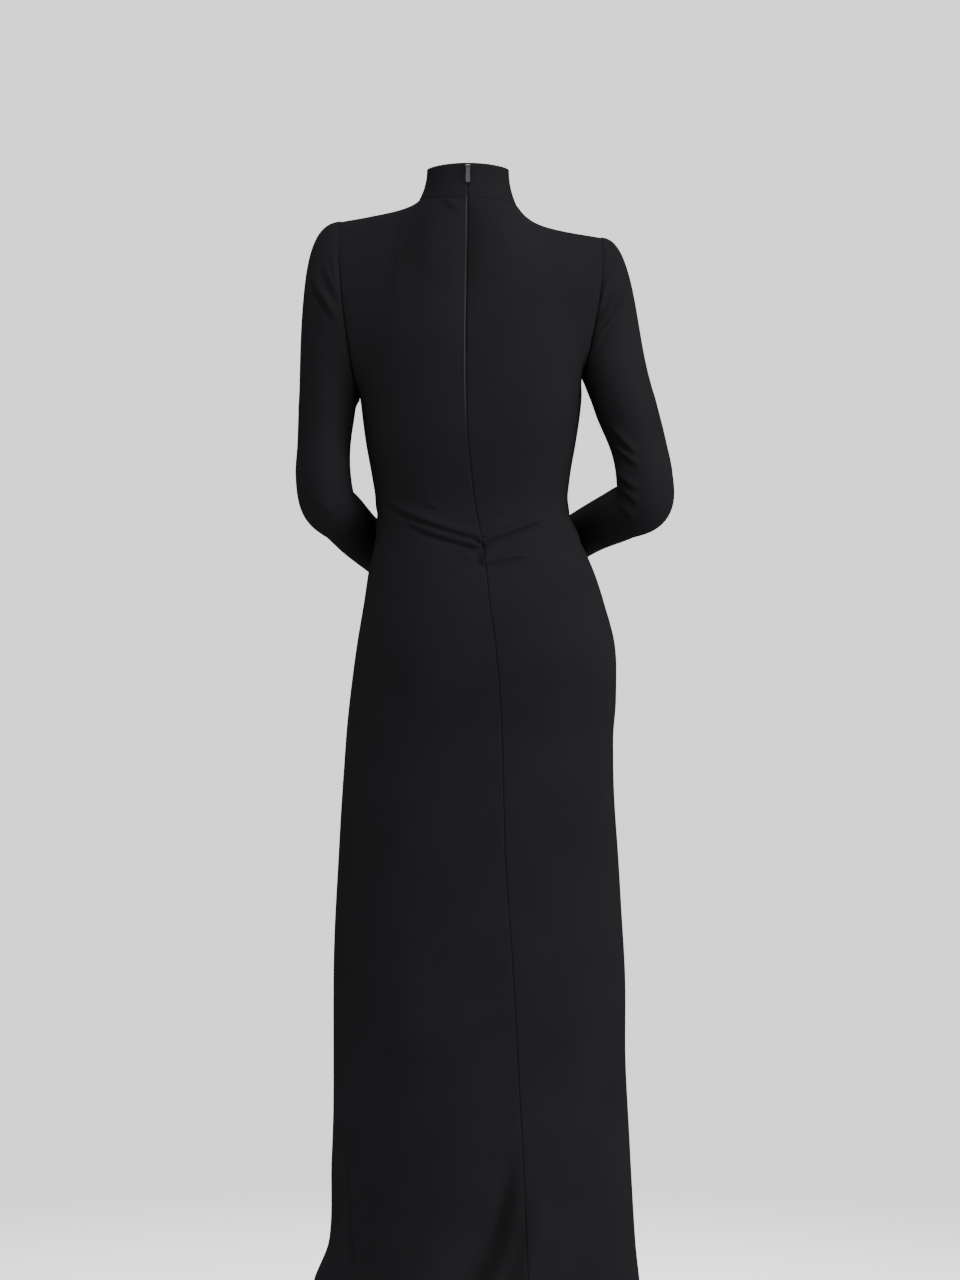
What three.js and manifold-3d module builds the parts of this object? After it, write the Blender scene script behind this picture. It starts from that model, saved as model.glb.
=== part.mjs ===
// Black jersey maxi dress with long sleeves, a high neck and a centre back zip, as worn.
// Millimetres, +Z up. The front faces -Y and the wearer's left is +X. The origin lies
// between the shoulders, at the base of the neck, where the wearer carries the dress.
import * as THREE from 'three';
import { mergeVertices } from 'three/addons/utils/BufferGeometryUtils.js';
import Module from 'manifold-3d';

const wasm = await Module();
wasm.setup();

// Cloth
const WALL = 1.6;
const SEAM_GAP = 0.3;

// How finely the cloth is divided
const NECK_COLUMNS = 4;
const SHOULDER_COLUMNS = 5;
const HALF_COLUMNS = NECK_COLUMNS + SHOULDER_COLUMNS;
const ARMHOLE_ROWS = 8;
const CAP_RINGS = 6;
const ARM_RINGS = 21;
const COLLAR_ROWS = 3;

// Width of the front's middle columns, as turns round the body and round the neckline
const FRONT_COLUMN_ANGLE = 12;
const NECK_COLUMN_ANGLE = 18;

// Body of the dress: side edges, centre back seam, depth behind and in front, squareness
const SECTIONS = [
  { z: -1583, left: 240, right: -240, seam: -92, back: 212, front: -172, square: 2.1 },
  { z: -1479, left: 222, right: -230, seam: -86, back: 178, front: -150, square: 2.1 },
  { z: -1387, left: 200, right: -222, seam: -78, back: 152, front: -134, square: 2.15 },
  { z: -1336, left: 181, right: -217, seam: -75, back: 143, front: -128, square: 2.2 },
  { z: -1232, left: 177, right: -211, seam: -71, back: 131, front: -122, square: 2.2 },
  { z: -1102, left: 174, right: -205, seam: -64, back: 120, front: -117, square: 2.2 },
  { z: -972, left: 174, right: -203, seam: -57, back: 112, front: -113, square: 2.2 },
  { z: -842, left: 169, right: -195, seam: -48, back: 108, front: -110, square: 2.2 },
  { z: -686, left: 158.5, right: -188.5, seam: -43.5, back: 112, front: -110, square: 2.25 },
  { z: -634, left: 153.5, right: -192, seam: -41, back: 118, front: -111, square: 2.3 },
  { z: -563, left: 145, right: -191, seam: -35, back: 121, front: -113, square: 2.35 },
  { z: -504, left: 135, right: -175.5, seam: -27, back: 112, front: -113, square: 2.35 },
  { z: -465, left: 129, right: -162, seam: -23, back: 98, front: -112, square: 2.35 },
  { z: -426, left: 121, right: -145, seam: -18, back: 84, front: -108, square: 2.35 },
  { z: -385, left: 118.5, right: -130, seam: -9.5, back: 76, front: -104, square: 2.35 },
  { z: -348, left: 124, right: -132.5, seam: -5, back: 80, front: -106, square: 2.35 },
  { z: -296, left: 134, right: -141, seam: 0, back: 90, front: -116, square: 2.4 },
  { z: -243, left: 140, right: -147.5, seam: 2, back: 98, front: -122, square: 2.45 },
  { z: -215, left: 141, right: -147, seam: 3, back: 101, front: -120, square: 2.45 },
];
const HEM_Z = -1583;
const UNDERARM_Z = -229;

// The right shoulder is drawn forward and its underarm lies higher than the left one: the
// rows above this height lean by this much at the sides
const LEAN = { from: -370, rise: -14 };

// Rows of the cloth from the hem up: each zone ends at a height after a number of rows
const ROW_ZONES = [
  { to: -1387, rows: 4 },
  { to: -1100, rows: 5 },
  { to: -640, rows: 7 },
  { to: -490, rows: 6 },
  { to: -370, rows: 11 },
  { to: UNDERARM_Z, rows: 5 },
];

// Drag folds over the small of the back, each a soft ridge or trough between two points.
// A fold rises from nothing just before its first point, and all of them fade round the
// side over this share of the depth.
const FOLD_START = 0.08;
const FOLDS_FADE = 0.35;
const BACK_FOLDS = [
  { x1: 112, z1: -374, x2: -16, z2: -427, height: 5, width: 10 },
  { x1: 78, z1: -415, x2: -14, z2: -449, height: -3, width: 8 },
  { x1: -104, z1: -399, x2: -20, z2: -431, height: 4.5, width: 9 },
  { x1: -84, z1: -430, x2: -22, z2: -446, height: -2.5, width: 8 },
  { x1: -80, z1: -448, x2: -20, z2: -460, height: 3, width: 8 },
];

// Soft flutes that open towards the hem, placed by their angle round the skirt from the
// centre of the back towards the left. They deepen a little faster than they go down.
const FLUTE_GROWTH = 1.2;
const HEM_FLUTES = [
  { top: -1190, topAngle: -11, hemAngle: 6, depth: -26, width: 8 },
  { top: -1180, topAngle: 12, hemAngle: 26, depth: 12, width: 10 },
  { top: -1220, topAngle: -30, hemAngle: -16, depth: 14, width: 9 },
  { top: -1150, topAngle: 50, hemAngle: 54, depth: -18, width: 10 },
  { top: -1250, topAngle: -52, hemAngle: -46, depth: -13, width: 10 },
  { top: -1230, topAngle: -78, hemAngle: -72, depth: 8, width: 12 },
  { top: -1210, topAngle: 112, hemAngle: 114, depth: -15, width: 10 },
  { top: -1240, topAngle: 136, hemAngle: 138, depth: 10, width: 10 },
  { top: -1170, topAngle: 161, hemAngle: 164, depth: -19, width: 9 },
  { top: -1230, topAngle: 187, hemAngle: 186, depth: 12, width: 10 },
  { top: -1200, topAngle: 213, hemAngle: 211, depth: -17, width: 10 },
  { top: -1260, topAngle: 240, hemAngle: 237, depth: 9, width: 10 },
];

// Neckline and shoulder seams
const NECK = {
  halfWidth: 64, back: 50, front: -58, backZ: 14, leftZ: 14, rightZ: 8, frontZ: -28,
};
const SHOULDERS = {
  left: { x: 164, y: -2, z: -12, slope: 0.17, neckRise: 9, side: 1 },
  right: { x: -172, y: -2, z: -33, slope: 0.18, neckRise: 21, side: -1 },
};
const NECK_RISE_REACH = 15;
const NECK_BLEND = 4;

// How the corner between neckline and shoulder is rounded off in the cloth below it, in
// columns, and how close to the edge it holds
const NECK_CORNER = { reach: 1.7, spread: 1.9, hold: 6 };

// How the cloth leaves the underarm row and meets the shoulder or neck, from the centre
// line (across 0) to the armhole (across 1)
const YOKE_BACK = [
  { across: 0, lowX: 0, lowY: 12, lowZ: 85, highX: 0, highY: 14, highZ: -50 },
  { across: 0.22, lowX: 0, lowY: 13, lowZ: 84, highX: 13, highY: 38, highZ: -38 },
  { across: 0.45, lowX: 0, lowY: 15, lowZ: 82, highX: 14, highY: 57, highZ: -19 },
  { across: 0.72, lowX: 2, lowY: 27, lowZ: 68, highX: 5, highY: 64, highZ: -12 },
  { across: 1, lowX: 10, lowY: 72, lowZ: 15, highX: 11, highY: 64, highZ: -38 },
];
const YOKE_FRONT = [
  { across: 0, lowX: 0, lowY: 4, lowZ: 75, highX: 0, highY: -18, highZ: -42 },
  { across: 0.22, lowX: 0, lowY: 2, lowZ: 75, highX: 12, highY: -32, highZ: -32 },
  { across: 0.45, lowX: 0, lowY: 0, lowZ: 74, highX: 14, highY: -44, highZ: -18 },
  { across: 0.72, lowX: 2, lowY: -18, lowZ: 62, highX: 5, highY: -58, highZ: -14 },
  { across: 1, lowX: 10, lowY: -66, lowZ: 15, highX: 11, highY: -60, highZ: -38 },
];

// High neckband
const COLLAR = {
  halfWidth: 53, back: 41, front: -62, backZ: 58, sideZ: 54, frontZ: 18,
};

// Sleeves from the upper arm to the cuff: centre line and half sizes
const SLEEVE_LEFT = {
  side: 1,
  capReach: 62,
  stations: [
    { x: 183, y: 6, z: -257, wide: 37.5, deep: 46 },
    { x: 186.5, y: 12, z: -305, wide: 35, deep: 41 },
    { x: 187, y: 19, z: -345, wide: 36, deep: 39.5 },
    { x: 181.5, y: 14, z: -378, wide: 36, deep: 37 },
    { x: 163, y: -18, z: -397, wide: 33, deep: 35 },
    { x: 141, y: -71, z: -420, wide: 31, deep: 32 },
    { x: 104, y: -126, z: -451, wide: 29, deep: 30 },
    { x: 57, y: -163, z: -484, wide: 26, deep: 27 },
  ],
};
const SLEEVE_RIGHT = {
  side: -1,
  capReach: 47,
  stations: [
    { x: -205, y: 6, z: -254, wide: 40, deep: 46 },
    { x: -221.5, y: 12, z: -305, wide: 36.5, deep: 41 },
    { x: -229, y: 19, z: -345, wide: 37, deep: 39 },
    { x: -228.5, y: 14, z: -377, wide: 37, deep: 38 },
    { x: -202, y: -16, z: -391, wide: 34, deep: 35.5 },
    { x: -169, y: -62, z: -406, wide: 31, deep: 33 },
    { x: -126, y: -122, z: -430, wide: 29, deep: 30 },
    { x: -79, y: -160, z: -456, wide: 26, deep: 27 },
  ],
};

// Centre back zip
const TAPE_HALF_WIDTH = 12;
const TAPE_WALL = 1;
const ZIP_END_Z = -457;
const SLIDER = {
  topWidth: 7, footWidth: 5, length: 10, thick: 2, below: 8, underEdge: 2,
  earWidth: 1, earLength: 3.2, earInside: 2.2, earSink: 0.2, earCover: 1,
  pivotHeight: 2.1, pivotRadius: 0.6,
};
const PULL = {
  knuckleRadius: 1.4, holeRadius: 0.95, knuckleLength: 3.6, neckWidth: 3.4, neckLength: 4.5,
  width: 6, length: 22, thick: 1,
};
const ROUND_SIDES = 16;

const TURN = Math.PI / 180;
const vec = (x, y, z) => new THREE.Vector3(x, y, z);

function material(color, roughness, metalness) {
  return new THREE.MeshStandardMaterial({ color, roughness, metalness });
}

const jersey = () => material(0x202124, 0.62, 0);
const tapeCloth = () => material(0x18191b, 0.8, 0);
const blackMetal = () => material(0x26272a, 0.35, 0.8);

// Reads a named column of a table at a position, on a smooth curve through its rows
function read(table, key, at, column) {
  const rows = [...table].sort((a, b) => a[key] - b[key]);
  const place = THREE.MathUtils.clamp(at, rows[0][key], rows[rows.length - 1][key]);
  let k = 0;
  while (k < rows.length - 2 && place > rows[k + 1][key]) {
    k += 1;
  }
  const slopeBetween = (a, b) => (b[column] - a[column]) / (b[key] - a[key]);
  const slopeAt = (i) => {
    if (i === 0 || i === rows.length - 1) {
      const first = Math.min(i, rows.length - 2);
      return slopeBetween(rows[first], rows[first + 1]);
    }
    return slopeBetween(rows[i - 1], rows[i + 1]);
  };
  const span = rows[k + 1][key] - rows[k][key];
  const t = (place - rows[k][key]) / span;
  const start = rows[k][column];
  const end = rows[k + 1][column];
  const rise = end - start;
  const leave = slopeAt(k) * span;
  const arrive = slopeAt(k + 1) * span;
  return start + leave * t + (3 * rise - 2 * leave - arrive) * t * t
    + (leave + arrive - 2 * rise) * t * t * t;
}

function readRow(table, key, at) {
  const row = {};
  for (const column of Object.keys(table[0])) {
    row[column] = column === key ? at : read(table, key, at, column);
  }
  return row;
}

const signedPower = (value, power) => Math.sign(value) * Math.abs(value) ** power;

function middleOf(section) {
  return { x: (section.left + section.right) / 2, half: (section.left - section.right) / 2 };
}

function foldHeight(x, z) {
  let height = 0;
  for (const fold of BACK_FOLDS) {
    const run = new THREE.Vector2(fold.x2 - fold.x1, fold.z2 - fold.z1);
    const offset = new THREE.Vector2(x - fold.x1, z - fold.z1);
    const along = THREE.MathUtils.clamp(offset.dot(run) / run.lengthSq(), 0, 1);
    const away = offset.addScaledVector(run, -along).length() / fold.width;
    const place = THREE.MathUtils.lerp(FOLD_START, 1 - FOLD_START, along);
    height += fold.height * Math.sqrt(Math.sin(Math.PI * place)) * Math.exp(-away * away);
  }
  return height;
}

function fluteDepth(angle, z) {
  let depth = 0;
  for (const flute of HEM_FLUTES) {
    const down = THREE.MathUtils.clamp((flute.top - z) / (flute.top - HEM_Z), 0, 1);
    const centre = THREE.MathUtils.lerp(flute.topAngle, flute.hemAngle, down);
    const turned = THREE.MathUtils.euclideanModulo(angle - centre + 180, 360) - 180;
    depth += flute.depth * down ** FLUTE_GROWTH * Math.exp(-((turned / flute.width) ** 2));
  }
  return depth;
}

// A point of the dress below the armholes: angle 0 is the centre of the back, 90 the left
// side, 180 the front and 270 the right side
function bodyPoint(z, angle) {
  const section = readRow(SECTIONS, 'z', z);
  const middle = middleOf(section);
  const power = 2 / section.square;
  const sideways = signedPower(Math.sin(angle * TURN), power);
  const backwards = signedPower(Math.cos(angle * TURN), power);
  const depth = backwards > 0 ? section.back : -section.front;
  const outward = vec(
    signedPower(sideways, section.square - 1) / middle.half,
    signedPower(backwards, section.square - 1) / depth,
    0,
  ).normalize();
  const point = vec(middle.x + middle.half * sideways, depth * backwards, z);
  const onBack = THREE.MathUtils.smoothstep(backwards, 0, FOLDS_FADE);
  const swell = foldHeight(point.x, z) * onBack + fluteDepth(angle, z);
  return point.addScaledVector(outward, swell);
}

// The angle of the point that lies a distance to the side of the centre back seam
function angleBesideSeam(z, distance) {
  const section = readRow(SECTIONS, 'z', z);
  const middle = middleOf(section);
  const sideways = (section.seam + distance - middle.x) / middle.half;
  return Math.asin(signedPower(sideways, section.square / 2)) / TURN;
}

// The angles of one half of a row, from the centre line to the side: the first column is
// as wide as the zip's tape and the others share the rest
function halfAngles(z, side, onBack) {
  const centre = onBack ? angleBesideSeam(z, 0) : 180 * side;
  const first = onBack ? angleBesideSeam(z, side * TAPE_HALF_WIDTH)
    : (180 - FRONT_COLUMN_ANGLE) * side;
  const edge = 90 * side;
  const angles = [centre];
  for (let k = 1; k <= HALF_COLUMNS; k += 1) {
    angles.push(THREE.MathUtils.lerp(first, edge, (k - 1) / (HALF_COLUMNS - 1)));
  }
  return angles;
}

function rowHeights() {
  const heights = [HEM_Z];
  for (const zone of ROW_ZONES) {
    const from = heights[heights.length - 1];
    for (let k = 1; k <= zone.rows; k += 1) {
      heights.push(THREE.MathUtils.lerp(from, zone.to, k / zone.rows));
    }
  }
  return heights;
}

// The neckline at a turn from the back (0) through a side (90) to the front (180)
function necklinePoint(angle) {
  const backwards = Math.cos(angle * TURN);
  const sideways = Math.sin(angle * TURN);
  const depth = backwards > 0 ? NECK.back : -NECK.front;
  const sideZ = sideways > 0 ? NECK.leftZ : NECK.rightZ;
  const endZ = backwards > 0 ? NECK.backZ : NECK.frontZ;
  const z = THREE.MathUtils.lerp(sideZ, endZ, backwards * backwards);
  return vec(NECK.halfWidth * sideways, depth * backwards, z);
}

function shoulderPoint(shoulder, across) {
  const x = THREE.MathUtils.lerp(NECK.halfWidth * shoulder.side, shoulder.x, across);
  const inward = Math.abs(shoulder.x) - Math.abs(x);
  const fromNeck = Math.abs(x) - NECK.halfWidth;
  const neckZ = shoulder.side > 0 ? NECK.leftZ : NECK.rightZ;
  const curved = shoulder.z + shoulder.slope * inward
    + shoulder.neckRise * Math.exp(-fromNeck / NECK_RISE_REACH);
  const atNeck = shoulder.z + shoulder.slope * (Math.abs(shoulder.x) - NECK.halfWidth)
    + shoulder.neckRise;
  const z = curved + (neckZ - atNeck) * (1 - across) ** NECK_BLEND;
  return vec(x, shoulder.y * across, z);
}

// The turn of a column round the neckline, from the centre line to the neck point
function neckTurn(column, onBack) {
  const centre = onBack ? 0 : 180;
  const first = onBack ? TAPE_HALF_WIDTH / NECK.halfWidth / TURN
    : 180 - NECK_COLUMN_ANGLE;
  if (column < 1) {
    return THREE.MathUtils.lerp(centre, first, column);
  }
  return THREE.MathUtils.lerp(first, 90, (column - 1) / (NECK_COLUMNS - 1));
}

// The turns of the neckline's columns on one side
function neckTurns(side, onBack) {
  const turns = [];
  for (let k = 0; k <= NECK_COLUMNS; k += 1) {
    turns.push(neckTurn(k, onBack) * side);
  }
  return turns;
}

function topPoint(shoulder, onBack, column) {
  const place = THREE.MathUtils.clamp(column, 0, HALF_COLUMNS);
  if (place <= NECK_COLUMNS) {
    return necklinePoint(neckTurn(place, onBack) * shoulder.side);
  }
  return shoulderPoint(shoulder, (place - NECK_COLUMNS) / SHOULDER_COLUMNS);
}

// The top edge that the cloth below it follows, with its corner at the neck rounded off:
// the weighted mean of places to either side
function softTopPoint(shoulder, onBack, column) {
  const WEIGHTS = [1, 2, 3, 2, 1];
  const middle = (WEIGHTS.length - 1) / 2;
  const total = WEIGHTS.reduce((sum, weight) => sum + weight, 0);
  const away = (column - NECK_COLUMNS) / NECK_CORNER.spread;
  const reach = NECK_CORNER.reach * Math.exp(-away * away);
  const point = vec(0, 0, 0);
  WEIGHTS.forEach((weight, k) => {
    const place = column + (reach * (k - middle)) / middle;
    point.addScaledVector(topPoint(shoulder, onBack, place), weight / total);
  });
  return point;
}

// One half of the back or front: rows from the hem to the top edge, columns from the
// centre line to the side
function halfPanel(shoulder, onBack) {
  const { side } = shoulder;
  const rows = rowHeights().map((z) => {
    const lean = LEAN.rise * THREE.MathUtils.smoothstep(z, LEAN.from, UNDERARM_Z);
    return halfAngles(z, side, onBack).map((angle) => (
      bodyPoint(z + lean * Math.sin(angle * TURN), angle)
    ));
  });
  const low = rows[rows.length - 1];
  for (let i = 1; i <= ARMHOLE_ROWS; i += 1) {
    const up = i / ARMHOLE_ROWS;
    rows.push(low.map((start, k) => {
      const yoke = readRow(onBack ? YOKE_BACK : YOKE_FRONT, 'across', k / HALF_COLUMNS);
      const leave = start.clone().add(vec(yoke.lowX * side, yoke.lowY, yoke.lowZ));
      const top = softTopPoint(shoulder, onBack, k)
        .lerp(topPoint(shoulder, onBack, k), up ** NECK_CORNER.hold);
      const arrive = top.clone().add(vec(yoke.highX * side, yoke.highY, yoke.highZ));
      return new THREE.CubicBezierCurve3(start, leave, arrive, top).getPoint(up);
    }));
  }
  return rows;
}

// Cells hold a point of the outer face, its outward normal and the shift that opens a seam
function makeCells(rows) {
  return rows.map((row) => row.map((point) => (
    { point: point.clone(), normal: vec(0, 0, 0), shift: vec(0, 0, 0) }
  )));
}

function findNormals(piece) {
  const { cells, tube, turn } = piece;
  const rows = cells.length;
  const columns = cells[0].length;
  const at = (i, j) => {
    const column = tube ? THREE.MathUtils.euclideanModulo(j, columns)
      : THREE.MathUtils.clamp(j, 0, columns - 1);
    return cells[THREE.MathUtils.clamp(i, 0, rows - 1)][column].point;
  };
  for (let i = 0; i < rows; i += 1) {
    for (let j = 0; j < columns; j += 1) {
      const up = at(i + 1, j).clone().sub(at(i - 1, j));
      const across = at(i, j + 1).clone().sub(at(i, j - 1));
      cells[i][j].normal.crossVectors(up, across).multiplyScalar(turn).normalize();
    }
  }
}

// Cells of different pieces at one place share one normal, so that their rims face each
// other. The more body and sleeve fold back on each other under the arm, the more it
// points down.
function shareNormals(pieces) {
  const KEY_DIGITS = 2;
  const places = new Map();
  for (const piece of pieces) {
    for (const cell of piece.cells.flat()) {
      const key = cell.point.toArray().map((v) => v.toFixed(KEY_DIGITS)).join(' ');
      if (!places.has(key)) {
        places.set(key, []);
      }
      places.get(key).push(cell);
    }
  }
  for (const cells of places.values()) {
    if (cells.length > 1) {
      const sum = vec(0, 0, 0);
      cells.forEach((cell) => sum.add(cell.normal));
      sum.divideScalar(cells.length);
      sum.z -= 1 - sum.length();
      sum.normalize();
      cells.forEach((cell) => cell.normal.copy(sum));
    }
  }
}

// Draws the cells of an edge back into their piece by half the seam gap
function openSeam(edge, inside) {
  edge.forEach((cell, k) => {
    const before = edge[Math.max(k - 1, 0)].point;
    const after = edge[Math.min(k + 1, edge.length - 1)].point;
    const along = after.clone().sub(before).normalize();
    const inward = inside[k].point.clone().sub(cell.point);
    inward.addScaledVector(along, -inward.dot(along));
    inward.addScaledVector(cell.normal, -inward.dot(cell.normal));
    cell.shift.addScaledVector(inward.normalize(), SEAM_GAP / 2);
  });
}

function columnOf(cells, j, from = 0, to = cells.length - 1) {
  return cells.slice(from, to + 1).map((row) => row.at(j));
}

function openBodySeams(cells) {
  const underarm = cells.length - 1 - ARMHOLE_ROWS;
  for (const j of [0, -1]) {
    const next = j === 0 ? 1 : -2;
    openSeam(columnOf(cells, j, 0, underarm), columnOf(cells, next, 0, underarm));
    openSeam(columnOf(cells, j, underarm), columnOf(cells, next, underarm));
  }
}

// Whether a point comes before another: both rims of a seam are then split the same way
function comesFirst(a, b) {
  const NEAR = 0.01;
  for (const axis of ['z', 'y']) {
    if (Math.abs(a[axis] - b[axis]) > NEAR) {
      return a[axis] < b[axis];
    }
  }
  return a.x < b.x;
}

// Closes a sheet of cells into one wall of cloth
function clothGeometry({ cells, tube, turn }, wall) {
  const rows = cells.length;
  const columns = cells[0].length;
  const outer = cells.flat().map((cell) => cell.point.clone().add(cell.shift));
  const inner = cells.flat().map((cell, k) => (
    outer[k].clone().addScaledVector(cell.normal, -wall)
  ));
  const faces = [];
  const face = (a, b, c) => faces.push(...(turn > 0 ? [a, b, c] : [a, c, b]));
  const at = (i, j) => i * columns + (j % columns);
  const inside = rows * columns;
  const places = cells.flat().map((cell) => cell.point);
  const rim = (p, q) => {
    if (comesFirst(places[p], places[q])) {
      face(q, p, q + inside);
      face(p, p + inside, q + inside);
    } else {
      face(q, p, p + inside);
      face(q, p + inside, q + inside);
    }
  };
  const across = tube ? columns : columns - 1;
  for (let i = 0; i < rows - 1; i += 1) {
    for (let j = 0; j < across; j += 1) {
      const a = at(i, j);
      const b = at(i, j + 1);
      const c = at(i + 1, j);
      const d = at(i + 1, j + 1);
      face(a, c, b);
      face(b, c, d);
      face(a + inside, b + inside, c + inside);
      face(b + inside, d + inside, c + inside);
    }
  }
  for (let j = 0; j < across; j += 1) {
    rim(at(0, j + 1), at(0, j));
    rim(at(rows - 1, j), at(rows - 1, j + 1));
  }
  if (!tube) {
    for (let i = 0; i < rows - 1; i += 1) {
      rim(at(i, 0), at(i + 1, 0));
      rim(at(i + 1, columns - 1), at(i, columns - 1));
    }
  }
  const geometry = new THREE.BufferGeometry();
  const positions = [...outer, ...inner].flatMap((point) => point.toArray());
  geometry.setAttribute('position', new THREE.Float32BufferAttribute(positions, 3));
  geometry.setIndex(faces);
  return geometry;
}

// Sleeve rings beyond the upper arm, each square to the centre line
function armRings({ side, stations }) {
  const line = new THREE.CatmullRomCurve3(
    stations.map((s) => vec(s.x, s.y, s.z)), false, 'centripetal',
  );
  const around = 2 * ARMHOLE_ROWS;
  const rings = [];
  let sideways = vec(side, 0, 0);
  for (let i = 0; i <= ARM_RINGS; i += 1) {
    const t = i / ARM_RINGS;
    const centre = line.getPoint(t);
    const along = line.getTangent(t);
    sideways = sideways.clone().addScaledVector(along, -sideways.dot(along)).normalize();
    const backwards = vec(0, 0, 0).crossVectors(sideways, along).multiplyScalar(side);
    const place = t * (stations.length - 1);
    const sizes = readRow(stations.map((s, k) => ({ ...s, k })), 'k', place);
    const ring = [];
    for (let j = 0; j < around; j += 1) {
      const phi = (2 * Math.PI * j) / around;
      ring.push(centre.clone()
        .addScaledVector(sideways, -sizes.wide * Math.cos(phi))
        .addScaledVector(backwards, sizes.deep * Math.sin(phi)));
    }
    rings.push(ring);
  }
  return rings;
}

function middleOfRing(ring) {
  const sum = ring.reduce((total, point) => total.add(point), vec(0, 0, 0));
  return sum.divideScalar(ring.length);
}

// A sleeve: the armhole, the cap over the shoulder and the arm down to the cuff
function sleeveRows(sleeve, armhole) {
  const LEAVE = 0.33;
  const ARRIVE = 0.42;
  const arm = armRings(sleeve);
  const down = middleOfRing(arm[1]).sub(middleOfRing(arm[0])).normalize();
  const caps = armhole.map((start, j) => {
    const end = arm[0][j];
    const top = (1 - Math.cos((2 * Math.PI * j) / armhole.length)) / 2;
    const reach = start.distanceTo(end);
    const leave = start.clone().addScaledVector(down, reach * LEAVE * (1 - top));
    leave.x += sleeve.side * sleeve.capReach * top * top;
    const arrive = end.clone().addScaledVector(down, -reach * ARRIVE);
    return new THREE.CubicBezierCurve3(start, leave, arrive, end);
  });
  const rows = [];
  for (let i = 0; i < CAP_RINGS; i += 1) {
    rows.push(caps.map((cap) => cap.getPoint(i / CAP_RINGS)));
  }
  return [...rows, ...arm];
}

function armholeLoop(back, front) {
  const underarm = back.length - 1 - ARMHOLE_ROWS;
  const up = back.slice(underarm).map((row) => row.at(-1));
  const down = front.slice(underarm + 1, -1).map((row) => row.at(-1)).reverse();
  return [...up, ...down];
}

// The neckband's rows, from the neckline up, once round from the back's left edge
function collarRows() {
  const turns = [
    ...neckTurns(1, true),
    ...neckTurns(1, false).reverse().slice(1),
    ...neckTurns(-1, false).slice(1).map((turn) => turn + 360),
    ...neckTurns(-1, true).reverse().slice(1).map((turn) => turn + 360),
  ];
  const rows = [];
  for (let i = 0; i <= COLLAR_ROWS; i += 1) {
    const up = i / COLLAR_ROWS;
    const drawIn = 1 - (1 - up) ** 2;
    rows.push(turns.map((turn) => {
      const base = necklinePoint(turn);
      const backwards = Math.cos(turn * TURN);
      const depth = backwards > 0 ? COLLAR.back : -COLLAR.front;
      const endZ = backwards > 0 ? COLLAR.backZ : COLLAR.frontZ;
      const x = COLLAR.halfWidth * Math.sin(turn * TURN);
      const z = THREE.MathUtils.lerp(COLLAR.sideZ, endZ, backwards * backwards);
      return vec(
        THREE.MathUtils.lerp(base.x, x, drawIn),
        THREE.MathUtils.lerp(base.y, depth * backwards, drawIn),
        THREE.MathUtils.lerp(base.z, z, up),
      );
    }));
  }
  return rows;
}

// The zip's tapes lie inside the seam: the inner faces beside it, moved in
function tapeCells(backLeft, backRight, collar) {
  const inner = (cell) => cell.point.clone().add(cell.shift)
    .addScaledVector(cell.normal, -WALL - SEAM_GAP);
  const rowOf = (leftSeam, leftEdge, rightSeam, rightEdge) => {
    const middle = inner(leftSeam).add(inner(rightSeam)).multiplyScalar(0.5);
    return [inner(rightEdge), middle, inner(leftEdge)];
  };
  const rows = [];
  backLeft.cells.forEach((row, i) => {
    if (row[0].point.z >= ZIP_END_Z) {
      const other = backRight.cells[i];
      rows.push(rowOf(row[0], row[1], other.at(-1), other.at(-2)));
    }
  });
  collar.cells.slice(1).forEach((row) => {
    rows.push(rowOf(row[0], row[1], row.at(-1), row.at(-2)));
  });
  return makeCells(rows);
}

// Hard zip pieces, made by joining simple solids
function toSolid(geometry) {
  const bare = geometry.index ? geometry.toNonIndexed() : geometry.clone();
  bare.deleteAttribute('normal');
  bare.deleteAttribute('uv');
  const merged = mergeVertices(bare);
  return new wasm.Manifold(new wasm.Mesh({
    numProp: 3,
    vertProperties: new Float32Array(merged.attributes.position.array),
    triVerts: new Uint32Array(merged.index.array),
  }));
}

function toGeometry(solid) {
  const mesh = solid.getMesh();
  const geometry = new THREE.BufferGeometry();
  geometry.setAttribute('position', new THREE.BufferAttribute(mesh.vertProperties, 3));
  geometry.setIndex(new THREE.BufferAttribute(mesh.triVerts, 1));
  return geometry;
}

function block(width, depth, height, x, y, z) {
  return new THREE.BoxGeometry(width, depth, height).translate(x, y, z);
}

// A round bar or ring along X at a height over the slider's face
function barAlongX(outer, hole, length) {
  const outline = new THREE.Shape();
  outline.absarc(0, 0, outer, 0, 2 * Math.PI, false);
  if (hole > 0) {
    const opening = new THREE.Path();
    opening.absarc(0, 0, hole, 0, 2 * Math.PI, true);
    outline.holes.push(opening);
  }
  const bar = new THREE.ExtrudeGeometry(outline, {
    depth: length, bevelEnabled: false, curveSegments: ROUND_SIDES,
  });
  return bar.translate(0, 0, -length / 2).rotateY(Math.PI / 2);
}

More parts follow.
